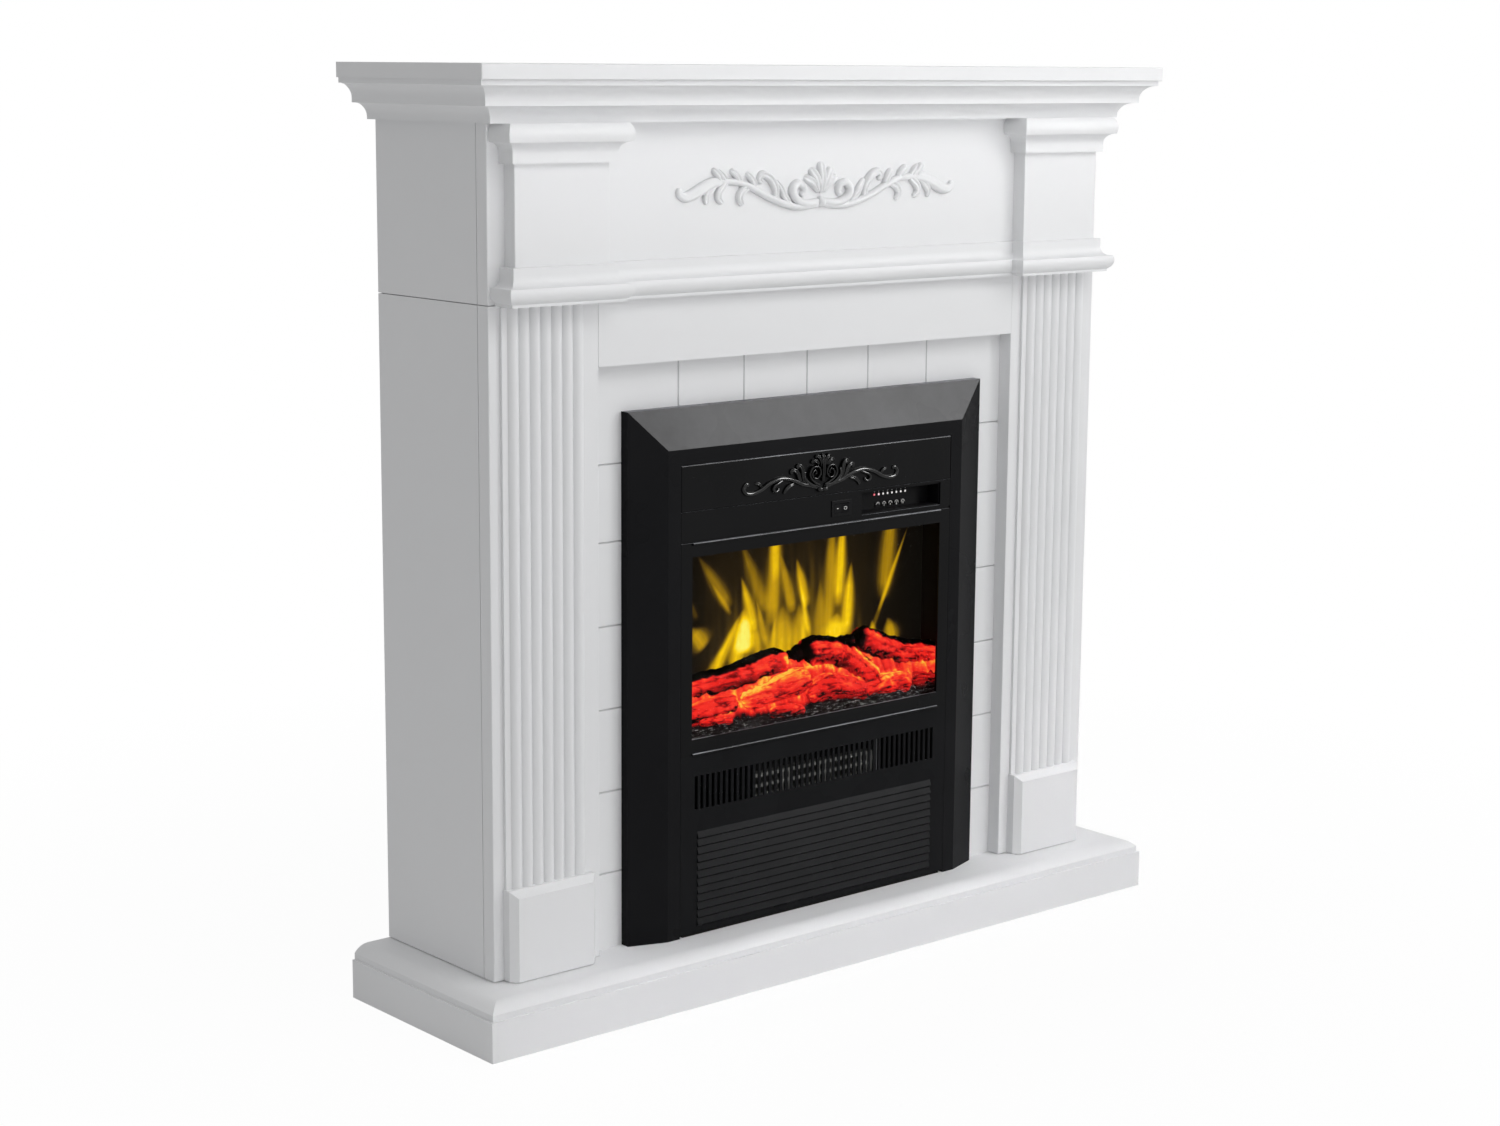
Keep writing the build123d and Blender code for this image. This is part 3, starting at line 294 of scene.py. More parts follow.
def make_sheen_group():
    """Group that paints a patchy grey sheen over a coat's colour where the surface looks upwards, as reflected
    light.
    """
    inputs = [("Coat Color", COLOUR, GREY), ("Dust Color", COLOUR, GREY), ("Patch Size", FLOAT, 16.0)]
    group, given, result = new_group("upward_painted_sheen", "ShaderNodeTree", inputs, [("Color", COLOUR)])
    normal = add_node(group, "ShaderNodeTexCoord").outputs["Normal"]
    facing = add_node(group, "ShaderNodeSeparateXYZ", Vector=normal)
    upward = math_node(group, "MULTIPLY_ADD", facing.outputs["Z"], UP_GAIN, UP_START, clamp=True)
    cloud = noise_node(group, given["Patch Size"], detail=5.0, roughness=0.6)
    patches = math_node(group, "MULTIPLY_ADD", cloud, PATCH_GAIN, PATCH_START, clamp=True)
    amount = math_node(group, "MULTIPLY", upward, patches)
    veil = add_node(group, "ShaderNodeMix", data_type="RGBA", Factor=amount)
    plug(group, given["Coat Color"], veil.inputs[MIX_FIRST])
    plug(group, given["Dust Color"], veil.inputs[MIX_SECOND])
    plug_in(group, result, Color=veil.outputs[MIX_RESULT])
    return group


PAINTED_SHEEN = make_sheen_group()


def with_painted_sheen(name, coat_colour, sheen_colour, shine):
    """Black powder coat of the insert's front under the shared painted sheen."""
    material = coated(name, coat_colour, SATIN, *POWDER, cloud=0.5, shine=shine)
    tree = material.node_tree
    shader = tree.nodes["Principled BSDF"]
    coat = shader.inputs["Base Color"].links[0].from_socket
    sheen_node = add_node(tree, "ShaderNodeGroup", node_tree=PAINTED_SHEEN)
    plug_in(tree, sheen_node, Coat_Color=coat, Dust_Color=(*sheen_colour, 1.0))
    plug_in(tree, shader, Base_Color=sheen_node.outputs["Color"])
    return material


print("group", PAINTED_SHEEN.name, "with", len(PAINTED_SHEEN.nodes), "nodes")

# %% [markdown]
# Each front plate takes the painted sheen with its own coat, sheen colour and shine, and the case behind them
# is plain black.
# All other solids take the finish that the record names for them.

# %% Coats on the solids
# The second colour of each coat is painted sheen: grey painted on upward faces in place of the lamps'
# reflection.
frame_coat = with_painted_sheen("frame_coat", (0.0070, 0.0071, 0.0080), (0.20, 0.203, 0.228), shine=0.04)
edge_coat = with_painted_sheen("edge_coat", (0.0024, 0.0025, 0.0029), (0.36, 0.37, 0.40), shine=0.07)
rib_coat = with_painted_sheen("rib_coat", (0.0115, 0.0117, 0.0125), (0.022, 0.0225, 0.025), shine=0.01)
case_coat = coated("case_coat", (0.011, 0.0095, 0.007), 0.5, *POWDER, cloud=0.4, shine=0.05)
finish_of_plate = {
    "trim_frame": frame_coat,
    "ornament_panel": edge_coat,
    "control_strip": edge_coat,
    "window_frame": edge_coat,
    "lower_panel": rib_coat,
    "firebox_case": case_coat,
}
slot_of_node = {row["node"]: row["material_slot"] for row in frame["record"]["subparts"]}


def give_finish(node, material):
    """Put one finish on a solid of the frame."""
    slots = nodes[node].data.materials
    slots.clear()
    slots.append(material)


for node, slot_name in slot_of_node.items():
    if slot_name in finish_of_slot:
        give_finish(node, finish_of_slot[slot_name])
for node, plate_coat in finish_of_plate.items():
    give_finish(node, plate_coat)
print("finishes on", sum(s in finish_of_slot for s in slot_of_node.values()), "of", len(slot_of_node), "solids")

# %% [markdown]
# The pane is thin clear glass. Its index is set low, because such panes are coated to reflect little, and a
# strong reflection of the white room would wash out the fire behind it.

# %% Glass
PANE_HAZE = 0.03


def clear_pane():
    """Finish of the window pane, with faint smears in its roughness."""
    glass = dict(IOR=1.03, Transmission_Weight=1.0)
    material, tree, shader = new_finish("clear_pane", (0.96, 0.97, 0.97), 0.01, **glass)
    smear = noise_node(tree, 14.0, detail=4.0)
    plug_in(tree, shader, Roughness=math_node(tree, "MULTIPLY", smear, PANE_HAZE))
    return material


give_finish("window_glass", clear_pane())
print("pane glazed")

# %% [markdown]
# The next pieces are made from scratch, as lists of corners and faces. Most are tubes: rings of corners joined
# in turn and capped at both ends. Two are fine grids whose rim is carried down to a foot or a back.


# %% Tubes and grids
def wall_faces(ring, after):
    """Faces of the wall between two rings of corner numbers."""
    return list(zip(ring, ring[1:] + ring[:1], after[1:] + after[:1], after))


def add_ring(corners, ring):
    """Add a ring of corners; returns their numbers."""
    corners.extend(ring)
    return list(range(len(corners) - len(ring), len(corners)))


def add_tube(shell, rings):
    """Add a tube to a shell: rings of corners joined in turn and capped at both ends."""
    corners, faces = shell[:2]
    numbers = [add_ring(corners, ring) for ring in rings]
    for ring, after in zip(numbers, numbers[1:]):
        faces.extend(wall_faces(ring, after))
    faces.extend((tuple(numbers[0]), tuple(numbers[-1])))


def close_grid(shell, columns, rows, foot_of, foot_value):
    """Join the grid that a shell's corners end with, and carry its rim to a flat foot."""
    corners, faces, values = shell
    wide = columns + 1
    last = len(corners) - 1
    first = len(corners) - wide * (rows + 1)
    starts = [first + row * wide + column for row in range(rows) for column in range(columns)]
    faces.extend([(a, a + 1, a + wide + 1, a + wide) for a in starts])
    rim = [*range(first, first + columns), *range(first + columns, last, wide)]
    rim += [*range(last, last - columns, -1), *range(last - columns, first, -wide)]
    foot = add_ring(corners, [foot_of(corners[k]) for k in rim])
    faces.extend([*wall_faces(rim, foot), tuple(foot)])
    values.extend([foot_value] * len(rim))


# %% [markdown]
# Corners in millimetres become a mesh in metres, with its faces turned outwards. The piece rides on a body of
# the frame, and the solid it stands for is hidden.


# %% Making a piece
def put_in_frame(name, mesh, body):
    """Object for a finished mesh, riding on a body of the frame."""
    piece = new_object(name, mesh)
    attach(piece, body)
    print(name, "has", len(mesh.vertices), "corners")
    return piece


def add_piece(name, corners, faces, material, slot_name, body=SURROUND, stands_for=(), smooth=True):
    """Piece of the object from corners in millimetres."""
    mesh = bpy.data.meshes.new(name)
    mesh.from_pydata([Vector(corner) * MM for corner in corners], [], faces)
    shell = bmesh.new()
    shell.from_mesh(mesh)
    bmesh.ops.recalc_face_normals(shell, faces=shell.faces)
    for face in shell.faces:
        face.smooth = smooth
    shell.to_mesh(mesh)
    shell.free()
    mesh.materials.append(material)
    piece = put_in_frame(name, mesh, body)
    if stands_for:
        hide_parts(*stands_for)
    return piece


def store(piece, name, values):
    """Store one number on every corner of a piece."""
    layer = piece.data.attributes.new(name, "FLOAT", "POINT")
    layer.data.foreach_set("value", values)


def box_of(node):
    """Lowest and highest corner of a solid, in millimetres."""
    low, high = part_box(node)
    return Vector(low) / MM, Vector(high) / MM


def held(value):
    """Value held between 0 and 1."""
    return max(0.0, min(1.0, value))


# %% [markdown]
# Strokes, logs and printed lines all follow a path. A smooth curve goes through a few points, and two helpers
# tell which way a path runs and what lies across it.

# %% Curves
STEPS = 10


def smooth_path(points, steps=STEPS):
    """Points of a Catmull-Rom curve through the given points."""
    line = [Vector(point) for point in points]
    line = [2 * line[0] - line[1], *line, 2 * line[-1] - line[-2]]
    path = []
    for a, b, c, d in zip(line, line[1:], line[2:], line[3:]):
        for step in range(steps):
            t = step / steps
            pull = (c - a) * t + (2 * a - 5 * b + 4 * c - d) * t**2 + (3 * b - a - 3 * c + d) * t**3
            path.append(b + pull / 2)
    return path + [line[-2]]


def heading(path, index):
    """Direction of a path at one of its points."""
    return path[min(index + 1, len(path) - 1)] - path[max(index - 1, 0)]


def crosswise(path, index):
    """Unit direction across a flat path at one of its points."""
    along = heading(path, index)
    return Vector((-along.y, along.x)).normalized()


# %% [markdown]
# Both applied ornaments are carved scrolls. A carver draws them as strokes that follow a curve, swell, and
# thin to a tip. So each stroke is a list of points along its middle, with its width at the start, halfway and
# at the end. Along it a half-round section stands up from the wall, with a groove along the middle where the
# stroke is a leaf.

# %% Carved strokes
ACROSS = 12
ROUNDNESS = 0.42
END_RISE = 0.55
THINNEST = 0.05
SINK = 0.4
LEAF = 0.4
STEM = 0.0
VEIN_WIDTH = 0.3


def round_end(gone, reach):
    """Share of its full width that a stroke has at a distance from its end."""
    return 1.0 if gone >= reach else math.sqrt(max(0.0, 1 - (1 - gone / reach) ** 2))


def carve(shell, points, widths, height, groove, wall, middle, side):
    """Add one stroke, on one side of the ornament's middle line, to a shell's corners and faces."""
    path = smooth_path(points)
    lengths = [0.0]
    for a, b in zip(path, path[1:]):
        lengths.append(lengths[-1] + (b - a).length)
    rings = []
    for index, place in enumerate(path):
        share = lengths[index] / lengths[-1]
        end_width = widths[0] if share < 0.5 else widths[2]
        swell = 1 - abs(2 * share - 1) ** 2
        reach = (end_width + (widths[1] - end_width) * swell) / 2
        tip = round_end(lengths[index], widths[0] / 2) * round_end(lengths[-1] - lengths[index], widths[2] / 2)
        reach = max(reach * tip, THINNEST)
        rise = height * math.sqrt(tip) * (END_RISE + (1 - END_RISE) * swell)
        normal = crosswise(path, index)
        rings.append([])
        for step in range(ACROSS + 1):
            s = 2 * step / ACROSS - 1
            vein = 1 - groove * math.exp(-((s / VEIN_WIDTH) ** 2))
            up = rise * (1 - s * s) ** ROUNDNESS * vein - SINK
            at = place + normal * (s * reach)
            rings[-1].append((side * at.x, wall - up, middle + at.y))
    add_tube(shell, rings)


def carved_ornament(strokes, wall, middle):
    """Corners and faces of an ornament, each stroke made on both sides of its middle line."""
    shell = ([], [])
    for points, widths, height, groove in strokes:
        sides = (1,) if all(x == 0 for x, z in points) else (1, -1)
        for side in sides:
            carve(shell, points, widths, height, groove, wall, middle, side)
    return shell


print("strokes have", ACROSS + 1, "corners across")

# %% [markdown]
# On the frieze an S-shaped stem runs from a drop under the middle out to a curled end leaf. Leaves stand up
# and hang down along it, a ring scroll sits on each side of the middle, and a fan of lobes makes the shell.

# %% Frieze ornament
FRIEZE_STROKES = [
    ([(0, -20), (38, -23), (74, -13), (97, -3), (120, 5), (150, 7)], (9, 8, 8), 7.0, STEM),
    ([(142, 6), (158, 5), (173, -1), (186, -7), (196, -9), (203, -5), (202, 1)], (10, 14, 7), 7.5, 0.1),
    ([(145, 6), (149, 13), (157, 21)], (9, 9, 6), 7.5, LEAF),
    ([(137, 6), (143, 13), (150, 20)], (7, 8, 4), 6.5, LEAF),
    ([(118, 4), (123, 12), (132, 19)], (9, 9, 6), 7.5, LEAF),
    ([(97, -3), (101, 7), (109, 16)], (9, 9, 6), 7.5, LEAF),
    ([(66, -15), (68, -2), (76, 9), (86, 13), (91, 8), (86, 4)], (8, 10, 6), 8.0, LEAF),
    ([(104, 0), (115, -4), (119, -12), (114, -20)], (7, 10, 5), 7.0, LEAF),
    ([(136, 6), (147, -3), (149, -11), (142, -17)], (7, 10, 5), 7.0, LEAF),
    ([(152, 5), (161, -3), (166, -10), (165, -18)], (7, 10, 5), 6.5, LEAF),
    ([(44, -22), (54, -11), (60, -1), (66, 6)], (6, 9, 4), 6.5, LEAF),
    ([(2, -18), (24, -20), (39, -14), (43, -5), (36, 2), (27, -1), (26, -8), (31, -11)], (8, 10, 7), 8.5, STEM),
    ([(3, -8), (13, 3), (25, 9)], (5, 10, 10), 7.5, LEAF),
    ([(2, -8), (8, 7), (16, 19)], (5, 11, 11), 8.5, LEAF),
    ([(0, -10), (0, 9), (0, 26)], (5, 11, 12), 9.0, LEAF),
    ([(0, -12), (0, -19), (0, -25)], (8, 11, 5), 9.0, STEM),
]
ORNAMENT_DROP = 115
frieze_wall = box_of("frieze_ornament")[1].y
frieze_middle = box_of("frieze_board")[1].z - ORNAMENT_DROP
carving = carved_ornament(FRIEZE_STROKES, frieze_wall, frieze_middle)
paint = finish_of_slot["white_paint"]
add_piece("carved_frieze", *carving, paint, "white_paint", stands_for=["frieze_ornament"])

# %% [markdown]
# The black scroll on the insert is slimmer and shinier. Its stems end in volutes, and a small palmette of
# five lobes stands over two facing spirals. It is a casting under gloss paint, so it gets its own smoother
# black: the highlights on its round strokes are what makes it readable on a black plate.

# %% Black scroll
SCROLL_STROKES = [
    ([(2, -17), (16, -13), (30, -10), (42, -5), (52, -2), (65, -1), (80, -5)]
     + [(92, -11), (104, -14), (113, -13), (117, -8), (113, -3), (109, -5)], (6, 5.5, 5), 4.2, STEM),
    ([(3, -14), (11, -10), (18, -5), (20.5, 1), (16.5, 8), (8, 8), (4.7, 1)]
     + [(9, -4.7), (15, -3.9), (16.8, 1), (12.2, 4.6), (9.6, 1), (12.2, -0.6)], (4, 3.0, 2.6), 5.5, STEM),
    ([(27, 5), (27.5, -3), (22, -9), (14, -13), (6, -14)], (3, 5, 3), 4.5, STEM),
    ([(30, -11), (35, -4), (38, 3), (43, 7), (47, 6), (46, 2)], (4, 6, 4.5), 4.5, LEAF),
    ([(27, -10), (30, -1), (31, 6), (34, 11), (38, 11), (37, 7)], (4, 6, 4.5), 5.0, LEAF),
    ([(41, -8), (49, -10), (55, -14), (58, -19)], (3, 5.5, 3), 4.0, LEAF),
    ([(58, -2), (65, -5), (72, -8), (74, -12), (70, -15), (66, -13), (67, -11)], (3, 4, 3.5), 4.0, STEM),
    ([(90, -9), (95, -4), (101, -3)], (3, 4.5, 2.5), 3.5, LEAF),
    ([(5, 9), (10, 14), (15, 15), (17, 12)], (3, 5, 4), 5.0, LEAF),
    ([(1.5, 7), (4, 15), (8.5, 20), (11.5, 18)], (3, 5, 4), 5.5, LEAF),
    ([(0, -10), (0, 8), (0, 23)], (3.5, 5.5, 5.5), 6.5, LEAF),
    ([(0, -16), (3, -18), (8, -17)], (6, 7, 4), 5.5, STEM),
]
gloss_black = coated("gloss_black", (0.0008, 0.0008, 0.0009), 0.15, 900, 0.03, cloud=0.3, shine=0.25)
panel_low, panel_high = box_of("ornament_panel")
scroll = carved_ornament(SCROLL_STROKES, panel_low.y, (panel_low.z + panel_high.z) / 2)
add_piece("carved_scroll", *scroll, gloss_black, "black_ornament", stands_for=["scroll_ornament"])

# %% [markdown]
# The log bed is one moulded piece, lit from below, so the seams between the logs glow brightest and the crests
# of the back logs stay black. Each row is one log: its own glow, whether its crest is charred, and stations
# along it with x, y, z and radius in millimetres. The last two rows are black bridges that close the notches
# between the back logs. A seam is a line as seen from the front, with its width and the glow it adds.

# %% Logs and hot seams
LOGS = [
    (0.62, True, [(-232, -32, 328, 14), (-140, -32, 332, 15), (-77, -32, 338, 15)]
     + [(-45, -32, 345, 16), (-17, -32, 346, 16)]),
    (0.64, True, [(17, -32, 351, 17), (46, -32, 349, 17), (68, -34, 342, 17)]
     + [(90, -38, 328, 17), (116, -43, 306, 15)]),
    (0.62, True, [(102, -30, 358, 16), (132, -31, 343, 17), (164, -32, 331, 17)]
     + [(197, -32, 325, 17), (231, -32, 319, 15)]),
    (0.76, False, [(-94, -50, 309, 11), (-55, -50, 315, 13), (-20, -50, 322, 15), (6, -48, 325, 14)]),
    (0.58, False, [(2, -53, 305, 10), (30, -51, 311, 15), (60, -51, 307, 15), (96, -52, 296, 12)]),
    (0.60, False, [(94, -52, 297, 9), (125, -52, 301, 12), (150, -52, 301, 12), (161, -52, 299, 12)]),
    (0.54, False, [(-226, -47, 304, 12), (-150, -48, 308, 13), (-100, -46, 313, 11)]),
    (0.50, False, [(-58, -59, 296, 6), (-32, -59, 294, 7), (-8, -59, 290, 6)]),
    (0.52, False, [(-162, -60, 299, 5), (-138, -60, 298, 5), (-117, -60, 295, 4)]),
    (0.22, False, [(170, -50, 296, 12), (200, -50, 295, 12), (230, -49, 291, 12)]),
    (0.00, True, [(-34, -20, 344, 13), (-6, -20, 338, 13), (12, -20, 340, 13), (34, -20, 350, 13)]),
    (0.00, True, [(82, -20, 346, 13), (98, -20, 344, 13), (120, -20, 350, 13)]),
]
SEAMS = [
    ([(-93, 322), (-78, 324), (-53, 330), (-27, 338), (-18, 342), (-24, 352)], 3.0, 0.42),
    ([(-102, 325), (-100, 313), (-91, 304), (-81, 295)], 4.5, 0.36),
    ([(-132, 306), (-112, 311), (-100, 313)], 4.0, 0.24),
    ([(-56, 303), (-25, 306), (5, 306)], 2.6, 0.24),
    ([(12, 337), (21, 339), (50, 331), (66, 323)], 3.4, 0.34),
    ([(89, 346), (95, 341), (108, 329), (125, 313), (130, 302)], 3.6, 0.36),
    ([(110, 300), (124, 313), (150, 312), (157, 304)], 3.0, 0.24),
    ([(160, 330), (185, 318), (215, 322)], 6.0, 0.16),
]
print(len(LOGS), "logs and", len(SEAMS), "seams")

# %% [markdown]
# Noise breaks up the glow. It comes in layers, each an amount and a size in millimetres: slow patches, streaks
# along the logs, and a flicker on the seams.

# %% Glow of the embers
GLOW_PATCHES, GLOW_STREAKS, GLOW_FLICKER = (0.14, 26), (0.10, 7), (0.7, 5)
STREAK_RUN = 0.35
FALLOFF, OCTAVE_STEP, OCTAVES = 1.0, 2.0, 4


def bark(at, *layers):
    """Roughness at a place in millimetres: the sum of its layers, each an amount and a size."""
    octaves = (FALLOFF, OCTAVE_STEP, OCTAVES)
    return sum(amount * noise.fractal(Vector(at) / size, *octaves) for amount, size in layers)


def seam_glow(x, z):
    """Extra glow near the hot seams, as they lie when seen from the front."""
    place = Vector((x, z))
    best = 0.0
    for points, width, amount in SEAMS:
        for a, b in zip(points, points[1:]):
            start, run = Vector(a), Vector(b) - Vector(a)
            share = held((place - start).dot(run) / run.length_squared)
            away = (place - start - run * share).length
            best = max(best, amount * math.exp(-((away / width) ** 2)))
    return best


def ember_glow(at, base):
    """Glow of a place on the bed: its base with slow patches, long streaks and hot seams."""
    patch = bark(at, GLOW_PATCHES) + bark((at.x * STREAK_RUN, at.y, at.z), GLOW_STREAKS)
    hot = seam_glow(at.x, at.z) * (1.0 + bark(at, GLOW_FLICKER))
    return base + patch + hot


print("glow on the first seam", round(seam_glow(*SEAMS[0][0][0]), 2))

# %% [markdown]
# Such logs are cast from chopped wood. Each is a tube with five flat facets, as an axe leaves them, whose
# radius wanders with noise, so that bark and splits show in its outline. Every corner stores a value called
# glow: splits, facet edges and undersides are darker, each facet has its own tone, and along the charred
# crest of a back log it falls to nothing.

# %% Chopped logs
SPAN_STEPS = 24
LOG_SIDES = 60
FACETS = 5
WEDGE = 2 * math.pi / FACETS
TWIST = 0.37
CHOP = 0.6
FULLNESS = 1.08
EDGE_START, EDGE_WIDTH = 0.40, 0.10
SPLITS, SPLIT_DEPTH, SPLIT_CUT = (1.6, 13), 0.28, 1.5
SPLIT_RUN, SPLIT_ACROSS = 0.3, 1.6
SWELLS, BARK_HEIGHT = [(1.3, 22), (0.7, 6)], 1.7
BLUNT_START, BLUNT_STEPS = 0.35, 5
BASE_LIFT, TOP_LIGHT, SPLIT_SHADE = 0.03, 0.10, 1.1
UNDERSIDE, UNDER_EDGE, UNDER_FADE, UNDER_SHADE = 0.12, (0.2, 8), 0.5, 0.38
FACET_TONE, FACET_TURN, EDGE_SHADE = 0.09, 4.4, 0.16
CREST, CREST_EDGE, CREST_FADE = 0.72, (0.1, 12), 0.12
BURNT_STEP = 0.25


def log_frame(path, index):
    """Middle of a log at one step along it, with its level and upright directions."""
    along = heading(path, index).xyz
    level = Vector((along.y, -along.x, 0)).normalized()
    upright = level.cross(along).normalized()
    if upright.z < 0:
        upright.negate()
    return path[index].xyz, level, upright


def facet_at(turn, twist):
    """Facet at a turn round a log, its share of the full radius there, and how near its edge is."""
    facet, across = divmod(turn + twist, WEDGE)
    off_middle = across - WEDGE / 2
    flat = math.cos(WEDGE / 2) / math.cos(off_middle)
    edge = max(0.0, abs(off_middle) / WEDGE - EDGE_START) / EDGE_WIDTH
    return facet % FACETS, FULLNESS - CHOP + CHOP * flat, edge


def split_at(place):
    """Depth of the long splits in the bark."""
    drawn_out = (place.x * SPLIT_RUN, place.y * SPLIT_ACROSS, place.z * SPLIT_ACROSS)
    return max(0.0, SPLIT_DEPTH - abs(bark(drawn_out, SPLITS)))


def log_glow(place, upward, base, split):
    """Glow of a place on a log before its facets and its crest."""
    under = held((UNDERSIDE - upward + bark(place, UNDER_EDGE)) / UNDER_FADE)
    lit = ember_glow(place, base + BASE_LIFT) + TOP_LIGHT * upward
    return lit - SPLIT_SHADE * split - UNDER_SHADE * base * under


def log_shell(shell, base, charred, stations):
    """Add one log to a shell: corners, faces and the glow of each corner."""
    path = smooth_path(stations, steps=SPAN_STEPS)
    last = len(path) - 1
    twist = abs(TWIST * stations[0][0]) % WEDGE
    rings = []
    for index, station in enumerate(path):
        centre, level, upright = log_frame(path, index)
        blunt = min(1.0, BLUNT_START + min(index, last - index) / BLUNT_STEPS)
        burnt_end = 1 - BURNT_STEP * index if stations[0][0] > 0 else 0.0
        rings.append([])
        for side in range(LOG_SIDES):
            turn = 2 * math.pi * side / LOG_SIDES
            out = level * math.sin(turn) + upright * math.cos(turn)
            facet, fullness, edge = facet_at(turn, twist)
            rough = centre + out * station[3]
            split = split_at(rough)
            swell = bark(rough, *SWELLS) - SPLIT_CUT * split
            reach = station[3] * math.sqrt(blunt) * fullness + BARK_HEIGHT * swell
            rings[-1].append(centre + out * reach)
            tone = FACET_TONE * math.sin(FACET_TURN * facet + twist)
            glow = log_glow(rough, out.z, base, split) + tone - EDGE_SHADE * edge
            if charred:
                crest = (out.z - CREST - bark(rough, CREST_EDGE)) / CREST_FADE
                glow *= 1 - held(max(crest, burnt_end))
            shell[2].append(held(glow))
    add_tube(shell, rings)


embers = ([], [], [])
for log_base, log_charred, log_stations in LOGS:
    log_shell(embers, log_base, log_charred, log_stations)
print("logs have", len(embers[0]), "corners")

# %% [markdown]
# The logs lie in a bed of coals: a grid with lumps in two sizes that rises to a mound behind the front logs.
# It is lower to the right, where the dark back of the firebox shows, and low places are ash that doesn't
# glow. The rim goes straight down to a flat foot, so the casting is closed.

# %% Bed of coals
COAL_STEP = 2.0
COAL_FRONT, COAL_MOUND = 25.0, 48.0
MOUND_POWER, MOUND_BACK = 1.5, 0.4
MOUND_FALL, FALL_START = 30.0, 90.0
LUMPS, GRAVEL, GRAVEL_LAYER, COAL_HEIGHT = (1.0, 15), (0.6, 5), 40, 4.0
COAL_HEAT, LUMP_HEAT, FRONT_HEAT = 0.60, 0.3, 1.6
ASH_TOP, ASH_EDGE, ASH_FADE, ASH_LEAST = 293.0, (5, 14), 9.0, 0.05


def coal_shell(shell, low, high):
    """Add the bed: a rough top, mounded behind the front logs, on four plain sides and a flat foot."""
    columns = int((high.x - low.x) / COAL_STEP)
    rows = int((high.y - low.y) / COAL_STEP)
    for row in range(rows + 1):
        back = row / rows
        y = low.y + (high.y - low.y) * back
        rise = COAL_FRONT + COAL_MOUND * (math.sin(math.pi * back) ** MOUND_POWER + MOUND_BACK * back)
        for column in range(columns + 1):
            x = low.x + (high.x - low.x) * column / columns
            lumps = bark((x, y, 0), LUMPS) + bark((x, y, GRAVEL_LAYER), GRAVEL)
            fall = MOUND_FALL * max(0.0, (x - FALL_START) / (high.x - FALL_START)) * back
            place = Vector((x, y, low.z + rise - fall + COAL_HEIGHT * lumps))
            shell[0].append(place)
            heat = (COAL_HEAT + LUMP_HEAT * lumps) * min(1.0, FRONT_HEAT * (1 - back))
            ash = min(1.0, max(ASH_LEAST, (place.z - ASH_TOP + bark(place, ASH_EDGE)) / ASH_FADE))
            shell[2].append(held(ember_glow(place, heat) * ash))
    close_grid(shell, columns, rows, lambda at: (at[0], at[1], low.z), foot_value=0.0)


coal_shell(embers, *box_of("log_bed"))
print("logs and coals have", len(embers[0]), "corners")

# %% [markdown]
# The casting is painted resin that lets light through where the paint is thin. Noise drawn out along the logs
# breaks the stored glow into flecks and veins, and a ramp turns it from black through red to orange. Grey ash
# specks lie only low down in front.

# %% Ember finish
EMBER_STOPS = [
    (0.0, (0.0, 0.0, 0.0)),
    (0.16, (0.010, 0.002, 0.002)),
    (0.34, (0.40, 0.008, 0.008)),
    (0.48, (0.82, 0.016, 0.012)),
    (0.62, (0.93, 0.034, 0.02)),
    (0.76, (0.97, 0.08, 0.024)),
    (0.88, (0.98, 0.26, 0.026)),
    (1.0, (1.0, 0.56, 0.06)),
]
ASH_STOPS = [(0.40, (0.003, 0.003, 0.003)), (0.58, (0.02, 0.02, 0.02)), (0.72, (0.30, 0.29, 0.28))]
FLECKS, VEINS = 0.40, 0.44
FLECK_SIZE, VEIN_SIZE = 420.0, 110.0
BREAK_UP = 1.2
DRAWN_OUT = (0.28, 1.0, 1.0)
ASH_SLOPE, ASH_LEVEL = -90.0, 27.4


def ember_finish():
    """Painted resin lit from inside: the stored glow, broken up along the bark, drives its light."""
    dark = (0.02, 0.02, 0.02)
    material, tree, shader = new_finish("ember_resin", dark, 0.8, shine=0.0, Emission_Strength=1.0)
    stored = add_node(tree, "ShaderNodeAttribute", attribute_name="glow").outputs["Fac"]
    place = add_node(tree, "ShaderNodeTexCoord").outputs["Object"]
    along = add_node(tree, "ShaderNodeVectorMath", operation="MULTIPLY", Vector=place)
    along.inputs[1].default_value = DRAWN_OUT
    fleck = noise_node(tree, FLECK_SIZE, detail=3.0, roughness=0.7, at=along.outputs["Vector"])
    vein = noise_node(tree, VEIN_SIZE, detail=4.0, roughness=0.65, at=along.outputs["Vector"])
    specks = math_node(tree, "MULTIPLY_ADD", fleck, FLECKS, -FLECKS / 2)
    veins = math_node(tree, "MULTIPLY_ADD", vein, VEINS, -VEINS / 2)
    strong = math_node(tree, "MULTIPLY", math_node(tree, "ADD", specks, veins), stored)
    glow = math_node(tree, "MULTIPLY_ADD", strong, BREAK_UP, stored, clamp=True)
    height = add_node(tree, "ShaderNodeSeparateXYZ", Vector=place).outputs["Z"]
    low_down = math_node(tree, "MULTIPLY_ADD", height, ASH_SLOPE, ASH_LEVEL, clamp=True)
    ashes = math_node(tree, "MULTIPLY", fleck, low_down)
    relief = add_node(tree, "ShaderNodeBump", Strength=0.5, Distance=0.001, Height=vein)
    plug_in(tree, shader, Base_Color=ramp_node(tree, ashes, ASH_STOPS), Normal=relief.outputs["Normal"])
    plug_in(tree, shader, Emission_Color=ramp_node(tree, glow, EMBER_STOPS))
    return material


log_bed = add_piece("ember_bed", *embers[:2], ember_finish(), "ember_resin", stands_for=["log_bed"])
store(log_bed, "glow", embers[2])

# %% [markdown]
# The flames are light thrown on a translucent screen by turning foil paddles, so they are soft leaves without
# depth. Each row is one tongue: its foot and tip on the screen, its half width and its light.

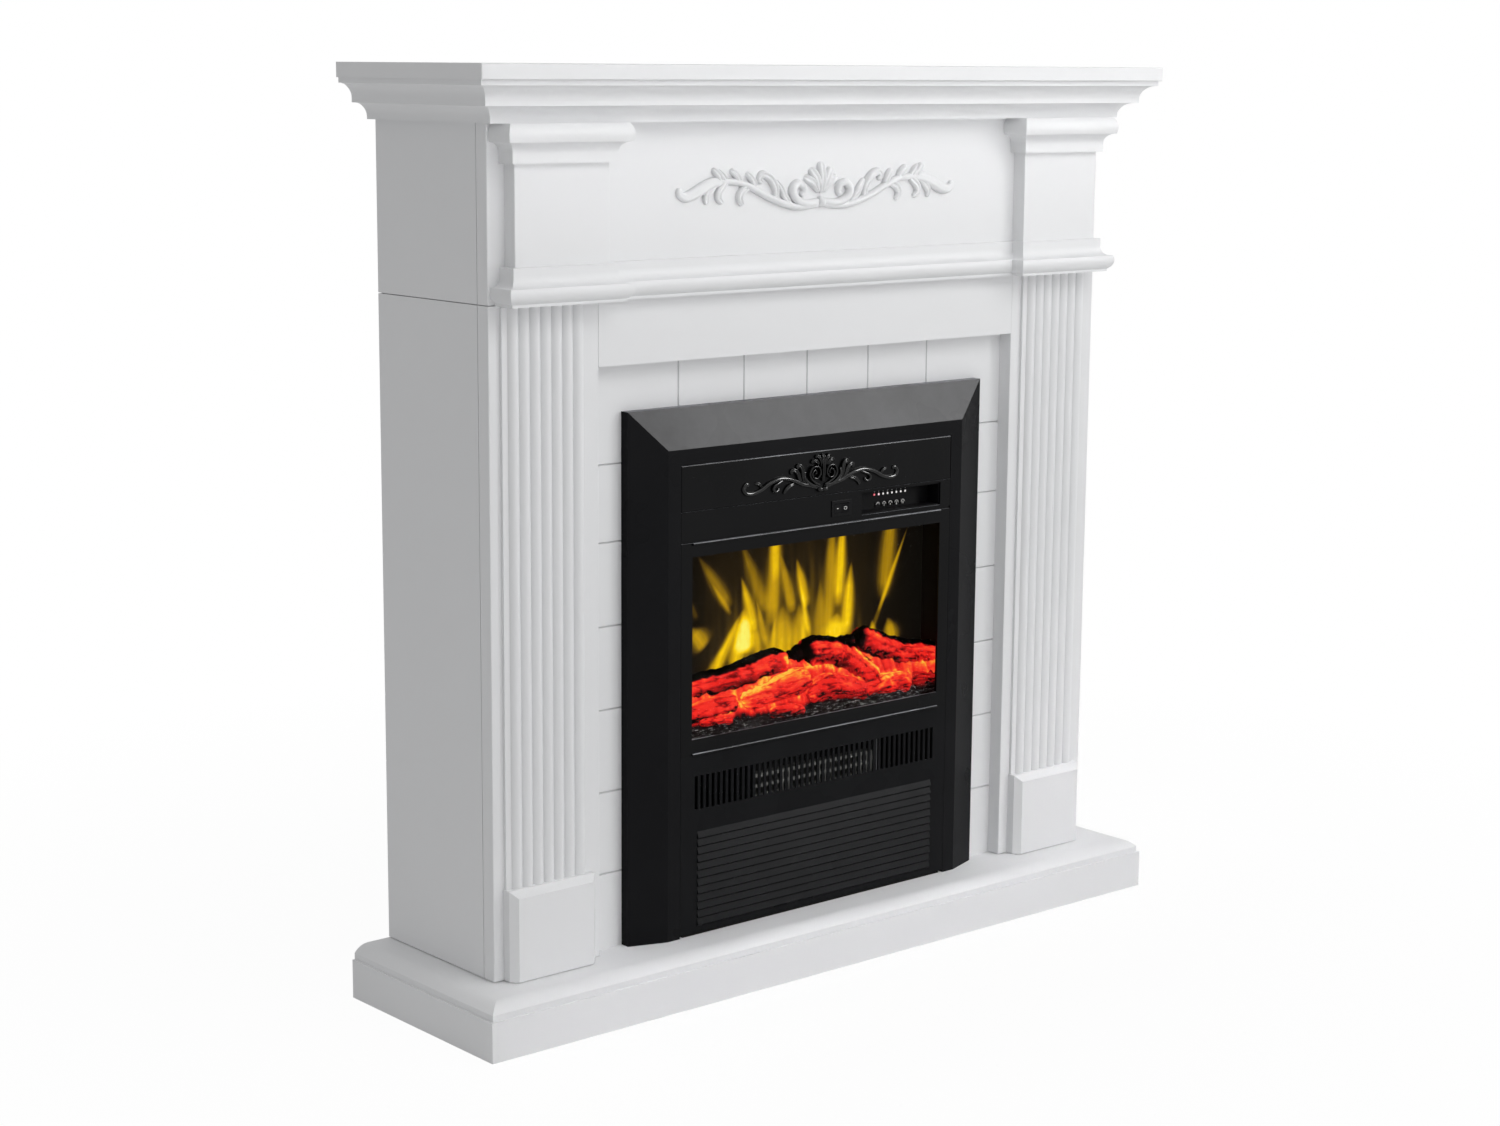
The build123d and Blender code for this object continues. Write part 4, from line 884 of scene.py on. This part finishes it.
# %% Flame tongues
FLAMES = [
    ((-104, 366), (-126, 394), 16, 0.66),
    ((-66, 408), (-118, 478), 10, 0.42),
    ((-66, 400), (-96, 442), 4, 0.42),
    ((-94, 328), (-52, 400), 8, 0.78),
    ((-46, 350), (-46, 408), 23, 1.0),
    ((-46, 352), (-45, 402), 14, 0.85),
    ((-60, 336), (-48, 380), 15, 0.72),
    ((-28, 376), (-52, 446), 9, 0.82),
    ((-12, 396), (-54, 490), 11, 0.42),
    ((-3, 376), (2, 534), 12, 0.64),
    ((1, 430), (2, 540), 9, 0.45),
    ((30, 390), (8, 466), 9, 0.56),
    ((-12, 356), (-28, 416), 5, 0.55),
    ((10, 334), (14, 406), 18, 0.50),
    ((-5, 342), (2, 390), 5, 0.55),
    ((52, 394), (33, 458), 9, 0.74),
    ((56, 358), (38, 434), 5, 0.74),
    ((46, 344), (38, 404), 15, 0.55),
    ((84, 345), (92, 524), 12, 0.55),
    ((101, 388), (108, 512), 11, 0.88),
    ((113, 352), (122, 446), 12, 0.90),
    ((96, 338), (99, 384), 24, 0.92),
    ((174, 386), (191, 536), 16, 0.56),
    ((166, 374), (216, 480), 4, 0.62),
    ((150, 340), (186, 414), 4, 0.34),
    ((192, 332), (182, 368), 15, 0.66),
    ((160, 336), (156, 368), 8, 0.66),
    ((-106, 326), (-66, 376), 6, 0.50),
    ((-24, 340), (-30, 388), 9, 0.50),
    ((70, 340), (72, 430), 10, 0.40),
    ((-116, 400), (-134, 434), 5, 0.20),
    ((-151, 340), (-158, 470), 12, 0.55),
    ((-172, 345), (-166, 424), 12, 0.82),
    ((-196, 338), (-206, 446), 11, 0.48),
    ((-219, 334), (-213, 394), 10, 0.58),
    ((-141, 384), (-147, 506), 9, 0.40),
]
print(len(FLAMES), "tongues")

# %% [markdown]
# A tongue is widest at its belly, streaked along its length, and fades towards the tip. Overlapping tongues
# add up as lights do, and a streaky haze lies over the logs.

# %% Light of the flames
FOOT_SHARE, BELLY_POWER = 0.10, 0.75
BRIGHT_SLIMS, SLIMMEST = 0.2, 0.5
STREAK, STREAK_WIDTH, STREAK_LENGTH = 0.16, 2.4, 45
SOFT_EDGE, END_LIGHT, END_CUT = 2.6, 0.25, 3
FOOT_FADE, TIP_FADE = 0.16, 0.35
THICKNESS = 0.94
HAZE, HAZE_MIDDLE, HAZE_REACH = 0.60, 22.0, 140.0
HAZE_FOOT, HAZE_FADE = 340.0, 72.0
WISP_LEVEL = 0.75
WISPS = [(0.6, 7, 60, 3), (0.4, 22, 80, 9)]
DARK_SIDE, DARK_FADE = 170.0, 60.0
UNLIT_SCREEN = 0.02


def tongue(x, z, foot, tip, reach, light):
    """Light of one flame tongue at a place on the screen."""
    axis = Vector(tip) - Vector(foot)
    away = Vector((x, z)) - Vector(foot)
    length = axis.length
    along = away.dot(axis) / length
    across = (away.x * axis.y - away.y * axis.x) / length
    share = along / length
    if share < 0 or share > 1 or abs(across) > 2 * reach:
        return 0.0
    belly = math.sin(math.pi * (FOOT_SHARE + (1 - FOOT_SHARE) * share) ** BELLY_POWER)
    wide = max(reach * belly * (1.0 - BRIGHT_SLIMS * light), SLIMMEST)
    edge = math.exp(-((abs(across) / wide) ** SOFT_EDGE))
    ends = min(1.0, share / FOOT_FADE) * min(1.0, (1 - share) / TIP_FADE)
    streaks = noise.noise(Vector((across / STREAK_WIDTH, along / STREAK_LENGTH, length)))
    body = light * (1 - STREAK * (0.5 + streaks)) * edge
    return min(1.0, body * (END_LIGHT + (1 - END_LIGHT) * ends) * min(1.0, ends * END_CUT))


def flame_light(x, z):
    """Light on the screen at a place: tongues over a haze that rises from the logs."""
    spread = max(0.0, 1 - ((x - HAZE_MIDDLE) / HAZE_REACH) ** 2)
    wisps = WISP_LEVEL
    for amount, wide, tall, layer in WISPS:
        wisps += amount * noise.noise(Vector((x / wide, z / tall, layer)))
    dark = 1 - HAZE * spread * wisps * math.exp(-max(0.0, z - HAZE_FOOT) / HAZE_FADE)
    for foot, tip, reach, light in FLAMES:
        dark *= 1 - THICKNESS * tongue(x, z, foot, tip, reach, light)
    lit = held((DARK_SIDE + DARK_FADE - x) / DARK_FADE)
    return held(1 - dark + UNLIT_SCREEN * lit)


print("light over the logs", round(flame_light(HAZE_MIDDLE, HAZE_FOOT), 2))

# %% [markdown]
# A fine grid stands for the screen, and each corner of its front stores how much light falls on it. A plain
# back and closed edges make it a sheet. The screen itself is nearly black resin, and a ramp turns the stored
# light into brown, gold and yellow.

# %% Flames on the screen
SCREEN_STEP = 1.5
FLAME_STOPS = [
    (0.0, (0.0035, 0.0028, 0.002)),
    (0.12, (0.022, 0.013, 0.004)),
    (0.30, (0.12, 0.066, 0.005)),
    (0.50, (0.36, 0.20, 0.005)),
    (0.70, (0.68, 0.39, 0.005)),
    (0.86, (1.0, 0.66, 0.005)),
    (1.0, (1.0, 0.90, 0.15)),
]
SHIMMER = 0.12


def screen_shell(low, high):
    """Corners, faces and light of the screen: a fine front, a plain back and closed edges."""
    columns = int((high.x - low.x) / SCREEN_STEP)
    rows = int((high.z - low.z) / SCREEN_STEP)
    shell = ([], [], [])
    for row in range(rows + 1):
        z = low.z + (high.z - low.z) * row / rows
        for column in range(columns + 1):
            x = low.x + (high.x - low.x) * column / columns
            shell[0].append((x, low.y, z))
            shell[2].append(flame_light(x, z))
    close_grid(shell, columns, rows, lambda at: (at[0], high.y, at[2]), foot_value=UNLIT_SCREEN)
    return shell


def flame_finish():
    """Screen finish: dark resin, lit by the stored light through a ramp of flame colours."""
    dark = (0.003, 0.0027, 0.0022)
    material, tree, shader = new_finish("flame_screen", dark, 0.6, shine=0.0, Emission_Strength=1.0)
    stored = add_node(tree, "ShaderNodeAttribute", attribute_name="light").outputs["Fac"]
    shimmer = math_node(tree, "MULTIPLY_ADD", noise_node(tree, 180.0), SHIMMER, 1 - SHIMMER / 2)
    light = math_node(tree, "MULTIPLY", stored, shimmer)
    plug_in(tree, shader, Emission_Color=ramp_node(tree, light, FLAME_STOPS))
    return material


screen = screen_shell(*box_of("flame_screen"))
flames = add_piece("flame_sheet", *screen[:2], flame_finish(), "flame_screen", stands_for=["flame_screen"])
store(flames, "light", screen[2])

# %% [markdown]
# The control recess has a row of eight small lamps, each a little dome turned on a lathe profile. The first
# glows red, the second is lit white, and the rest are milky and unlit but are given a painted glow in place
# of the light they catch, so every corner stores its lens's colour and one finish reads it.

# %% Indicator lenses
LENS_SIDES = 20
LENS_DOME = [(0.001, -0.65), (0.5, -0.6), (0.95, -0.42), (1.25, -0.12), (1.4, 0.25)]
LENS_PROFILE = LENS_DOME + [(1.4, 2.0), (0.001, 2.0)]
LENS_COUNT = 8
LIT_RED = (0.75, 0.012, 0.06)
LIT_WHITE = (0.95, 0.62, 0.68)
# The unlit lenses also give off this milky colour as a painted glow, though they are not lit.
MILKY_AND_PAINTED_GLOW = (0.58, 0.56, 0.55)
MILK = 0.3


def turned(shell, profile, sides, centre):
    """Add a shape turned about an axis along Y: profile points are (radius, depth)."""
    turns = [2 * math.pi * side / sides for side in range(sides)]
    rings = [[(out * math.cos(turn), depth, out * math.sin(turn)) for turn in turns] for out, depth in profile]
    add_tube(shell, [[centre + Vector(at) for at in ring] for ring in rings])


def lens_finish():
    """Milky plastic that shows and gives off its stored colour; on the unlit lenses that light is a painted
    glow.
    """
    material, tree, shader = new_finish("lens_plastic", MILKY_AND_PAINTED_GLOW, 0.3, Emission_Strength=1.0)
    tint = add_node(tree, "ShaderNodeAttribute", attribute_name="tint").outputs["Color"]
    level = math_node(tree, "MULTIPLY_ADD", noise_node(tree, 1500.0), MILK, 1 - MILK / 2)
    shade = add_node(tree, "ShaderNodeVectorMath", operation="SCALE", Vector=tint, Scale=level)
    plug_in(tree, shader, Emission_Color=shade.outputs["Vector"])
    return material


lens_low, lens_high = box_of("indicator_lenses")
lens_radius = (lens_high.z - lens_low.z) / 2
lens_pitch = (lens_high.x - lens_low.x - 2 * lens_radius) / (LENS_COUNT - 1)
lenses = ([], [])
lens_spots = []
for index in range(LENS_COUNT):
    spot = Vector((lens_low.x + lens_radius + index * lens_pitch, lens_low.y, lens_low.z + lens_radius))
    lens_spots.append(spot)
    turned(lenses, LENS_PROFILE, LENS_SIDES, spot)
lens_row = add_piece("lens_row", *lenses, lens_finish(), "indicator_red", stands_for=["indicator_lenses"])
tints = lens_row.data.attributes.new("tint", "FLOAT_COLOR", "POINT")
per_lens = LENS_SIDES * len(LENS_PROFILE)
for index, colour in enumerate([LIT_RED, LIT_WHITE] + [MILKY_AND_PAINTED_GLOW] * (LENS_COUNT - 2)):
    for corner in range(index * per_lens, (index + 1) * per_lens):
        tints.data[corner].color = (*colour, 1.0)

# %% [markdown]
# White marks are printed on the switch, on the keys and over the lamps. A printed line is a very thin ribbon
# on a surface, drawn flat and then placed by the surface's own right, up and outward directions. Marks ride
# on their key or on the rocker.

# %% Printed marks
INK_THICKNESS = 0.12
INK_OFFSET = 0.04
KEY_LINE = 0.6
LEGEND_LINE, LEGEND_RISE = 0.35, 3.2


def ink_line(shell, points, width, at, right, up):
    """Add one printed line, drawn in (right, up) millimetres round a place on a surface."""
    out = right.cross(up)
    line = [Vector(point) for point in points]
    rings = []
    for index, point in enumerate(line):
        side = crosswise(line, index) * (width / 2)
        rings.append([])
        for flat, lift in ((point + side, 1), (point - side, 1), (point - side, 0), (point + side, 0)):
            height = INK_OFFSET + (lift - 1) * INK_THICKNESS
            rings[-1].append(at + right * flat.x + up * flat.y + out * height)
    add_tube(shell, rings)


def ring_path(radius, start, end, steps=24, middle=(0.0, 0.0)):
    """Points of an arc between two angles in degrees."""
    turns = [math.radians(start + (end - start) * step / steps) for step in range(steps + 1)]
    return [(middle[0] + radius * math.cos(turn), middle[1] + radius * math.sin(turn)) for turn in turns]


white_ink = coated("white_ink", (0.80, 0.80, 0.78), 0.6, 3000, 0.1, cloud_size=900, cloud=0.5)
RIGHT = Vector((1, 0, 0))
UP = Vector((0, 0, 1))
ARCH = ring_path(2.6, 0, 180)
KEY_MARKS = [
    [ARCH, [(0, 0.6), (0, 3.0)]],
    [ARCH, [(0, -2.6), (0, 1.0)]],
    [ARCH, ring_path(0.5, 0, 330, 10, (0, -1.2))],
    [ARCH, [(0, -2.6), (0, 1.0)], [(-1.0, -1.4), (0, -2.6), (1.0, -1.4)]],
    [ARCH, [(-0.9, -2.4), (-0.9, 0.6)], [(0.9, -2.4), (0.9, 0.6)]],
]
for number, strokes in enumerate(KEY_MARKS, start=1):
    key = f"push_button_{number}"
    key_low, key_high = box_of(key)
    face = Vector(((key_low.x + key_high.x) / 2, key_low.y, (key_low.z + key_high.z) / 2))
    marks = ([], [])
    for points in strokes:
        ink_line(marks, points, KEY_LINE, face, RIGHT, UP)
    add_piece(f"key_mark_{number}", *marks, white_ink, "button_plastic", body=key, smooth=False)

legend = ([], [])
for index, spot in enumerate(lens_spots):
    over = spot + UP * LEGEND_RISE
    lean = 0.5 if index % 2 else 0.0
    ink_line(legend, [(-0.7, 0), (0.7, lean)], LEGEND_LINE, over, RIGHT, UP)
add_piece("lamp_legend", *legend, white_ink, "black_plastic", smooth=False)

# %% [markdown]
# The rocker stands at seven degrees, pressed on its left side, about an upright pin. Its two faces slope away
# from the pin by the same seven degrees. Each mark is placed on its face as if the rocker were level, then
# turned with it.

# %% Marks on the rocker
ROCKER_TILT = math.radians(7)
ROCKER_FACE = 6.2
PIN_DEPTH = 5
MARK_PLACE = 5.4
BAR_LINE, RING_LINE = 0.8, 0.5
housing_low, housing_high = box_of("rocker_housing")
rocker_pin = (housing_low + housing_high) / 2
rocker_pin.y = panel_low.y + PIN_DEPTH
lean_back = Matrix.Rotation(-ROCKER_TILT, 3, "Z")


def on_rocker(place):
    """Place on a sloping face of the rocker and that face's right direction, at rest."""
    slope = math.tan(ROCKER_TILT)
    level = Vector((place, -ROCKER_FACE - abs(place) * slope, 0))
    right = Vector((1, -math.copysign(slope, place), 0)).normalized()
    return rocker_pin + lean_back @ level, lean_back @ right


switch_marks = ([], [])
ink_line(switch_marks, [(-1.2, 0), (1.2, 0)], BAR_LINE, *on_rocker(-MARK_PLACE), UP)
ink_line(switch_marks, ring_path(1.7, 0, 360), RING_LINE, *on_rocker(MARK_PLACE), UP)
add_piece("switch_marks", *switch_marks, white_ink, "black_plastic", body="rocker", smooth=False)

# %% [markdown]
# Screws repeat, so Geometry Nodes places them. The tree takes a mesh that is only points, makes one domed
# head with a crossed slot cut into it, puts a copy at each point with its axis along Y, and turns the copies
# into plain mesh.

# %% Screw head tree
GEOMETRY = "NodeSocketGeometry"
SLOT_SHARE = 1.2
SCREW_SIZES = {"Head Radius": 3.2 * MM, "Head Height": 1.6 * MM, "Slot Width": 0.9 * MM}


def screw_head(tree, given):
    """Nodes of one domed head with a crossed slot; returns its mesh socket."""
    radius, height, slot = (given[name] for name in SCREW_SIZES)
    ball = add_node(tree, "GeometryNodeMeshUVSphere", Segments=24, Rings=12, Radius=radius)
    flat = add_node(tree, "ShaderNodeCombineXYZ", X=1.0, Y=math_node(tree, "DIVIDE", height, radius), Z=1.0)
    dome = add_node(tree, "GeometryNodeTransform", Geometry=ball.outputs["Mesh"], Scale=flat.outputs["Vector"])
    cut = add_node(tree, "GeometryNodeMeshBoolean", operation="DIFFERENCE", Mesh_1=dome.outputs["Geometry"])
    length = math_node(tree, "MULTIPLY", radius, SLOT_SHARE)
    depth = math_node(tree, "MULTIPLY", height, SLOT_SHARE)
    lift = add_node(tree, "ShaderNodeCombineXYZ", Y=height).outputs["Vector"]
    for wide, tall in ((length, slot), (slot, length)):
        size = add_node(tree, "ShaderNodeCombineXYZ", X=wide, Y=depth, Z=tall)
        bar = add_node(tree, "GeometryNodeMeshCube", Size=size.outputs["Vector"])
        lifted = add_node(tree, "GeometryNodeTransform", Geometry=bar.outputs["Mesh"], Translation=lift)
        plug_in(tree, cut, Mesh_2=lifted.outputs["Geometry"])
    return cut.outputs["Mesh"]


def screw_tree(material):
    """Geometry tree that puts a slotted screw head on every point."""
    inputs = [("Geometry", GEOMETRY, None), *((name, FLOAT, size) for name, size in SCREW_SIZES.items())]
    tree, given, result = new_group("screw_heads", "GeometryNodeTree", inputs, [("Geometry", GEOMETRY)])
    head = screw_head(tree, given)
    copies = add_node(tree, "GeometryNodeInstanceOnPoints", Points=given["Geometry"], Instance=head)
    plain = add_node(tree, "GeometryNodeRealizeInstances", Geometry=copies.outputs["Instances"])
    painted = add_node(tree, "GeometryNodeSetMaterial", Geometry=plain.outputs["Geometry"], Material=material)
    plug_in(tree, result, Geometry=painted.outputs["Geometry"])
    return tree


zinc = coated("zinc_screw", (0.5, 0.5, 0.48), 0.35, 1200, 0.2, cloud_size=300, cloud=0.3, metal=1.0)
screws = screw_tree(zinc)
print("tree", screws.name, "with", len(screws.nodes), "nodes")

# %% [markdown]
# The screws hold the back of the steel case to its sides, where the maker gets in: six up each side and three
# more between them along the top and the bottom. The tree runs on those points, and what it makes is kept as
# a plain mesh.

# %% Screws in the case
SCREW_EDGE = 9.0
SCREW_ROWS = 6
SCREW_COLUMNS = 5


def grown(name, corners, tree, body=SURROUND):
    """Plain mesh made by a geometry tree from points in millimetres, put in the frame."""
    seed = bpy.data.meshes.new(name + "_points")
    seed.from_pydata([Vector(corner) * MM for corner in corners], [], [])
    carrier = new_object(name + "_points", seed)
    modifier = carrier.modifiers.new("grow", "NODES")
    modifier.node_group = tree
    evaluated = carrier.evaluated_get(bpy.context.evaluated_depsgraph_get())
    mesh = bpy.data.meshes.new_from_object(evaluated)
    carrier.modifiers.remove(modifier)
    bpy.data.objects.remove(carrier)
    return put_in_frame(name, mesh, body)


def spaced(start, end, count):
    """Evenly spaced numbers from start to end."""
    return [start + (end - start) * k / (count - 1) for k in range(count)]


case_low, case_high = box_of("firebox_case")
screw_xs = spaced(case_low.x + SCREW_EDGE, case_high.x - SCREW_EDGE, SCREW_COLUMNS)
screw_zs = spaced(case_low.z + SCREW_EDGE, case_high.z - SCREW_EDGE, SCREW_ROWS)
screw_places = [(x, case_high.y, z) for z in screw_zs for x in (screw_xs[0], screw_xs[-1])]
screw_places += [(x, case_high.y, z) for x in screw_xs[1:-1] for z in (screw_zs[0], screw_zs[-1])]
grown("case_screws", screw_places, screws)

# %% [markdown]
# The stage is a pale floor in a white room. Light Path tells which kind of ray asks: the camera, mirrors and
# glass see plain white, and all other rays see soft light. Near the hearth the floor mixes in its own
# shading, so that the contact shadow stays.

# %% Room and floor
FLOOR_SIZE = 30.0
SHADOW_REACH = 1.5
SHADOW_SHARE = 0.06
ROOM_LIGHT = 0.475


def seen_directly(tree):
    """Socket that is 1 for camera, glossy and transmission rays."""
    path = add_node(tree, "ShaderNodeLightPath").outputs
    first = math_node(tree, "MAXIMUM", path["Is Camera Ray"], path["Is Glossy Ray"])
    return math_node(tree, "MAXIMUM", first, path["Is Transmission Ray"])


def white_room():
    """World that is white to look at and lights softly."""
    world = bpy.data.worlds.new("white_room")
    world.use_nodes = True
    tree = world.node_tree
    strength = math_node(tree, "MULTIPLY_ADD", seen_directly(tree), 1.0 - ROOM_LIGHT, ROOM_LIGHT)
    plug_in(tree, tree.nodes["Background"], Color=(1, 1, 1, 1), Strength=strength)
    bpy.context.scene.world = world


def mixed(tree, share, first, second):
    """Node that mixes two shader nodes."""
    node = add_node(tree, "ShaderNodeMixShader", Fac=share)
    plug(tree, first.outputs[0], node.inputs[1])
    plug(tree, second.outputs[0], node.inputs[2])
    return node


def floor_finish():
    """White floor: plain white far away, its own shading near the object."""
    material, tree, shader = new_finish("stage_floor", (0.9, 0.9, 0.9), 0.9, shine=0.0)
    plain = add_node(tree, "ShaderNodeEmission", Strength=1.0)
    place = add_node(tree, "ShaderNodeTexCoord").outputs["Object"]
    away = add_node(tree, "ShaderNodeVectorMath", operation="LENGTH", Vector=place)
    far = math_node(tree, "DIVIDE", away.outputs["Value"], SHADOW_REACH)
    near = math_node(tree, "SUBTRACT", 1.0, far, clamp=True)
    seen = mixed(tree, math_node(tree, "MULTIPLY", near, SHADOW_SHARE), plain, shader)
    both = mixed(tree, seen_directly(tree), shader, seen)
    plug_in(tree, tree.nodes["Material Output"], Surface=both.outputs[0])
    return material


def stage_floor():
    """Large plane under the hearth."""
    mesh = bpy.data.meshes.new("stage_floor")
    half = FLOOR_SIZE / 2
    corners = [(-half, -half, 0), (half, -half, 0), (half, half, 0), (-half, half, 0)]
    mesh.from_pydata(corners, [], [(0, 1, 2, 3)])
    mesh.materials.append(floor_finish())
    new_object("stage_floor", mesh)


white_room()
stage_floor()
print("floor of", FLOOR_SIZE, "m in a white room")

# %% [markdown]
# The lamps are soft boxes. A small key lamp high on the right gives the faces their direction, a wide one
# hangs over the front, and a weak one fills the mouldings from straight ahead. Two strips wear a grid, which
# narrows their spread, so that one brightens only the frieze and the other only the hearth. The last lamp is
# left out of diffuse light: it shows only as a highlight on the edges of the black plates and the scroll.

# %% Lamps
KEY_PLACE = (2.39, -2.43, 1.94)
MIDDLE = (0, -0.07, 0.635)
GRID = 14


def soft_box(name, place, aim, width, height, watts, spread=180.0):
    """Rectangular studio light aimed at a point; a grid over it narrows its spread, in degrees."""
    data = bpy.data.lights.new(name, "AREA")
    data.shape = "RECTANGLE"
    data.size = width
    data.size_y = height
    data.energy = watts
    data.spread = math.radians(spread)
    lamp = new_object(name, data)
    turn = (Vector(aim) - Vector(place)).to_track_quat("-Z", "Y").to_matrix().to_4x4()
    lamp.matrix_world = Matrix.Translation(place) @ turn
    return lamp


soft_box("key_light", KEY_PLACE, MIDDLE, 0.5, 0.5, watts=12)
soft_box("top_light", (0.25, -1.3, 2.0), (0, -0.07, 0.7), 1.8, 0.7, watts=9.5)
soft_box("front_light", (0.5, -3.2, 0.75), (0, -0.07, 0.6), 2.0, 1.0, watts=9)
soft_box("frieze_light", (0.1, -1.6, 0.45), (0.1, -0.07, 0.955), 1.5, 0.12, watts=0.13, spread=GRID)
soft_box("hearth_light", (0.4, -1.1, 1.7), (0.2, -0.1, 0.06), 1.5, 0.12, watts=0.26, spread=GRID)
sparkle = soft_box("sparkle", KEY_PLACE, MIDDLE, 1.0, 1.6, watts=250)
sparkle.visible_diffuse = False
print("stage set,", len(bpy.data.lights), "lamps")
